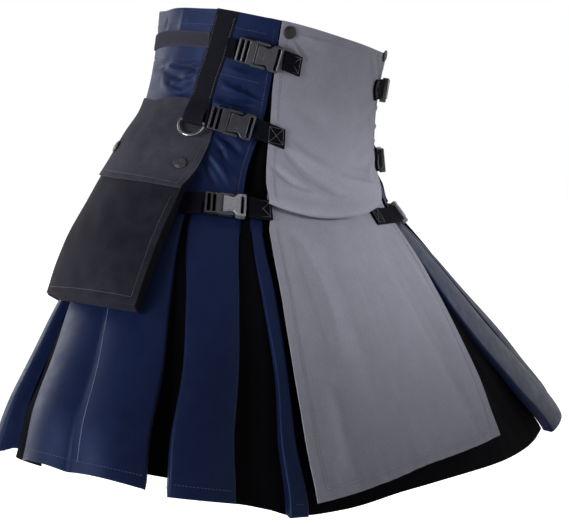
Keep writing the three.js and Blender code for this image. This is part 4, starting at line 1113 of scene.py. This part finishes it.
# Sewing: short raised threads along a line on the cloth
class Seams:
    def __init__(self):
        self.rows = []

    def sew(self, points, outer, pitch=3.4):
        """Stitches along a line of points; outer holds the same line moved out from the cloth."""
        steps = np.linalg.norm(np.diff(points, axis=0), axis=1)
        distance = np.concatenate([[0], np.cumsum(steps)])
        count = max(int(distance[-1] / pitch), 1)
        spots = (np.arange(count) + 0.5) * distance[-1] / count

        def read(line, places):
            return np.stack([np.interp(places, distance, line[:, k]) for k in range(3)], axis=1)

        centre = read(points, spots)
        along = unit(read(points, spots + 0.8) - read(points, spots - 0.8))
        self.rows.append(np.stack([centre, along, unit(read(outer, spots) - centre)]))

    def build(self, name, material, slot):
        centre, along, outward = np.concatenate(self.rows, axis=1)[:, :, None]
        side = np.cross(along, outward)
        bend = np.radians([0, 60, 120, 180, 270])
        points = []
        for at, grow, rise in ((-0.5, 0.25, -0.1), (-0.3, 1, 0.25), (0.3, 1, 0.25), (0.5, 0.25, -0.1)):
            across = STITCH_WIDTH * grow * np.cos(bend)[:, None]
            above = rise + STITCH_WIDTH * grow * np.sin(bend)[:, None]
            points.append(centre + along * at * STITCH_LENGTH + side * across + outward * above)
        points = np.concatenate(points, axis=1)
        faces = quads(4, 5)[:, ::-1] + (np.arange(len(points)) * points.shape[1])[:, None, None]
        mesh = make_mesh(name, points.reshape(-1, 3), faces.reshape(-1, 4).tolist())
        add_piece(name, mesh, [material])


def sew_on_surface(seams, angle, down, out, pitch=3.4):
    seams.sew(place(angle, down, out), place(angle, down, out + 2), pitch)


def sew_yoke(seams):
    around = np.linspace(-318, -42, 500)
    top = 19 + waist_top(around)
    belt = YOKE_SEAM - 2 + 3 * np.cos(np.radians(around))
    for down in (top, belt, 0 * around + FELL - 6):
        sew_on_surface(seams, around, down, yoke_lift(around, down) + 0.1)
    down = np.linspace(0, FELL - 3, 200)
    for side in (-1, 1):
        angle = side * (yoke_edge(down) + 2.2)
        sew_on_surface(seams, angle, down, yoke_lift(angle, down) + 0.1)


def sew_hems(seams):
    for pleat in PLEATS:
        level = pleat["hem"] - HEM_STITCH
        start, end = [float(value) for value in pleat_span(pleat, level)[:2]]
        angle = np.linspace(start + 0.8, end - 0.8, 160)
        out = pleat_out(pleat, (angle - start) / (end - start), angle, level + 0 * angle) - 0.2
        sew_on_surface(seams, angle, level + 0 * angle, out, 3.8)


def sew_side_pleats(seams):
    down = np.linspace(300, 536, 150)
    line = reader([300, 365, 450, 525, 545], [84, 78.8, 73.6, 71.6, 71.2])(down)
    for side, label in SIDES:
        pleat = next(row for row in PLEATS if row["name"] == "side_pleat_" + label)
        start, end = pleat_span(pleat, down)[:2]
        angle = side * line
        out = pleat_out(pleat, (angle - start) / (end - start), angle, down)
        # These stitches sit nearly end to end, and their pale thread paints a highlight along the pressed
        # crease.
        sew_on_surface(seams, angle, down, out, 2.55)


def sew_apron(seams):
    across = np.linspace(0.045, 0.955, 300)
    foot = float(apron_run[-1]) - APRON_STITCH
    lines = [(foot + 0 * across, across), (11 + 0 * across, across)]
    for edge in (0.043, 0.957):
        for low, high in ((8, APRON_FOLD - 16), (APRON_BACK + 14, foot)):
            run = np.linspace(low, high, 260)
            lines.append((run, edge + 0 * run))
    for run, u in lines:
        seams.sew(apron_points(run, u, 0.2), apron_points(run, u, 2.2))


def sew_webbing(seams, side):
    down = np.linspace(-4, 100, 120)
    for offset in (-WEBBING / 2 + 2, WEBBING / 2 - 2):
        middle = side * hanger_angle(down)
        angle = middle + turn(offset, middle, down)
        sew_on_surface(seams, angle, down, 2.3 + np.clip(yoke_lift(angle, down), -0.5, 0.8))
    for strap in (strap_on(side, row) for row in STRAPS):
        tip = strap["tip"][0 if side < 0 else 1]
        low = tip + float(turn(2.5, side * tip, strap["down"]))
        high = low + float(turn(TAB_BOX[0], side * tip, strap["down"]))
        half = TAB_BOX[1] / 2
        corners = [(low, -half), (high, -half), (high, half), (low, half), (low, -half),
                   (high, half), (low, half), (high, -half)]
        for (a0, d0), (a1, d1) in zip(corners[:-1], corners[1:]):
            angle = side * np.linspace(a0, a1, 12)
            level = strap["down"] + strap["drop"] * 0.7 + np.linspace(d0, d1, 12)
            out = apron_out(angle, level) + strap["lay"] + 2 * WEBBING_THICK + 0.1
            sew_on_surface(seams, angle, level, out, 2.6)


def sew_pocket(seams, side):
    """Both edges and the foot, first of the flap and then of the pocket."""
    for inset, top, end, foot, count, over, share, seed, sunk in (
            (0.042, 0.02, 0.35, FLAP_END - 0.026, 120, FLAP_OVER, 0.6, 50, 0.3),
            (0.044, 0.42, 0.965, 0.968, 160, 0, 1, 30, 0.4)):
        level = np.linspace(top, end, count)
        across = np.linspace(inset, 1 - inset, 200)
        for u, v in ((0 * level + inset, level), (0 * level + 1 - inset, level), (across, 0 * across + foot)):
            raised = pocket_crown(u, v) + share * pocket_relief(u, v, seed + side)
            out = pocket_out(side, v) + over + raised - sunk
            seams.sew(pocket_point(side, u, v, out), pocket_point(side, u, v, out + 2))


def build_sewing():
    navy, pale, black, grey = Seams(), Seams(), Seams(), Seams()
    sew_yoke(navy)
    sew_hems(navy)
    sew_side_pleats(pale)
    sew_apron(grey)
    for side in (-1, 1):
        sew_webbing(black, side)
        sew_pocket(black, side)
    pale.build("stitches_painted_highlight", THREAD_PAINTED_HIGHLIGHT, "navy_cloth")
    navy.build("stitches_navy", THREAD_NAVY, "navy_cloth")
    black.build("stitches_black", THREAD_BLACK, "webbing")
    grey.build("stitches_grey", THREAD_GREY, "grey_cloth")


# Camera, light and floor
def add_light(name, kind, power, spot, aim, **settings):
    light_data = bpy.data.lights.new(name, kind)
    light_data.energy = power
    for key, value in settings.items():
        setattr(light_data, key, value)
    light = bpy.data.objects.new(name, light_data)
    light.location = spot
    light.rotation_euler = (aim - spot).to_track_quat("-Z", "Y").to_euler()
    bpy.context.scene.collection.objects.link(light)


def build_stage():
    azimuth = math.radians(CAMERA_AZIMUTH)
    height = math.radians(CAMERA_HEIGHT)
    level = math.cos(height)
    away = Vector((math.sin(azimuth) * level, -math.cos(azimuth) * level, math.sin(height)))
    right = Vector((math.cos(azimuth), math.sin(azimuth), 0))
    up = away.cross(right)
    target = right * TARGET_RIGHT + Vector((0, 0, -TARGET_DOWN))
    camera_data = bpy.data.cameras.new("camera")
    camera_data.sensor_width = SENSOR
    camera_data.lens = LENS
    camera = bpy.data.objects.new("camera", camera_data)
    turned = Matrix((right, up, away)).transposed().to_4x4()
    camera.matrix_world = Matrix.Translation(target + away * CAMERA_DISTANCE) @ turned
    bpy.context.scene.collection.objects.link(camera)
    bpy.context.scene.camera = camera

    for name, sideways, forward, above, size, power in LIGHTS:
        spot = target + right * sideways + Vector((away.x, away.y, 0)) * forward + Vector((0, 0, above))
        add_light(name, "AREA", power, spot, target, size=size)
    blouse = Vector((0.05, -0.15, -0.255))
    add_light("front_lamp", "SPOT", 340, blouse + Vector((0.35, -1.5, 0.3)), blouse,
              spot_size=math.radians(15), spot_blend=1.0, shadow_soft_size=0.2)

    world = bpy.data.worlds.new("studio")
    world.use_nodes = True
    tree = world.node_tree
    background = tree.nodes["Background"]
    background.inputs["Color"].default_value = (1, 1, 1, 1)
    around = coordinates(tree, "Generated")
    facing = add_node(tree, "VectorMath", {0: around, 1: -away}, "Value", operation="DOT_PRODUCT")
    tree.links.new(ramp(tree, facing, 0.4, 1.0, 0.5, 0.85), background.inputs["Strength"])
    bpy.context.scene.world = world
    bpy.context.scene.view_settings.view_transform = "Standard"

    corners = [(x * FLOOR, y * FLOOR, FLOOR_LEVEL) for x, y in ((-1, -1), (1, -1), (1, 1), (-1, 1))]
    floor_mesh = bpy.data.meshes.new("floor")
    floor_mesh.from_pydata(corners, [], [(0, 1, 2, 3)])
    floor = bpy.data.objects.new("floor", floor_mesh)
    material, tree, shader = base_material("floor", (0.9, 0.9, 0.9), 0.9, 0.07)
    shader.inputs["Emission Color"].default_value = (1, 1, 1, 1)
    shader.inputs["Emission Strength"].default_value = 0.7
    floor_mesh.materials.append(material)
    bpy.context.scene.collection.objects.link(floor)


build_stage()
build_yoke()
build_under_apron()
for pleat_index, pleat_row in enumerate(PLEATS):
    build_pleat(pleat_index, pleat_row)
for inset_index, inset_row in enumerate(INSETS):
    build_inset(inset_index, *inset_row)
build_apron()
build_waist_band()
for piece_side, piece_label in SIDES:
    build_hanger(piece_side, piece_label)
    build_ring(piece_side, piece_label)
    for strap_row in (strap_on(piece_side, row) for row in STRAPS):
        build_buckle(strap_row, piece_side, piece_label)
        build_strap(strap_row, piece_side, piece_label)
        build_returns(strap_row, piece_side, piece_label)
    build_pocket(piece_side, piece_label)
    build_flap(piece_side, piece_label)
    build_snaps(piece_side, piece_label)
build_sewing()
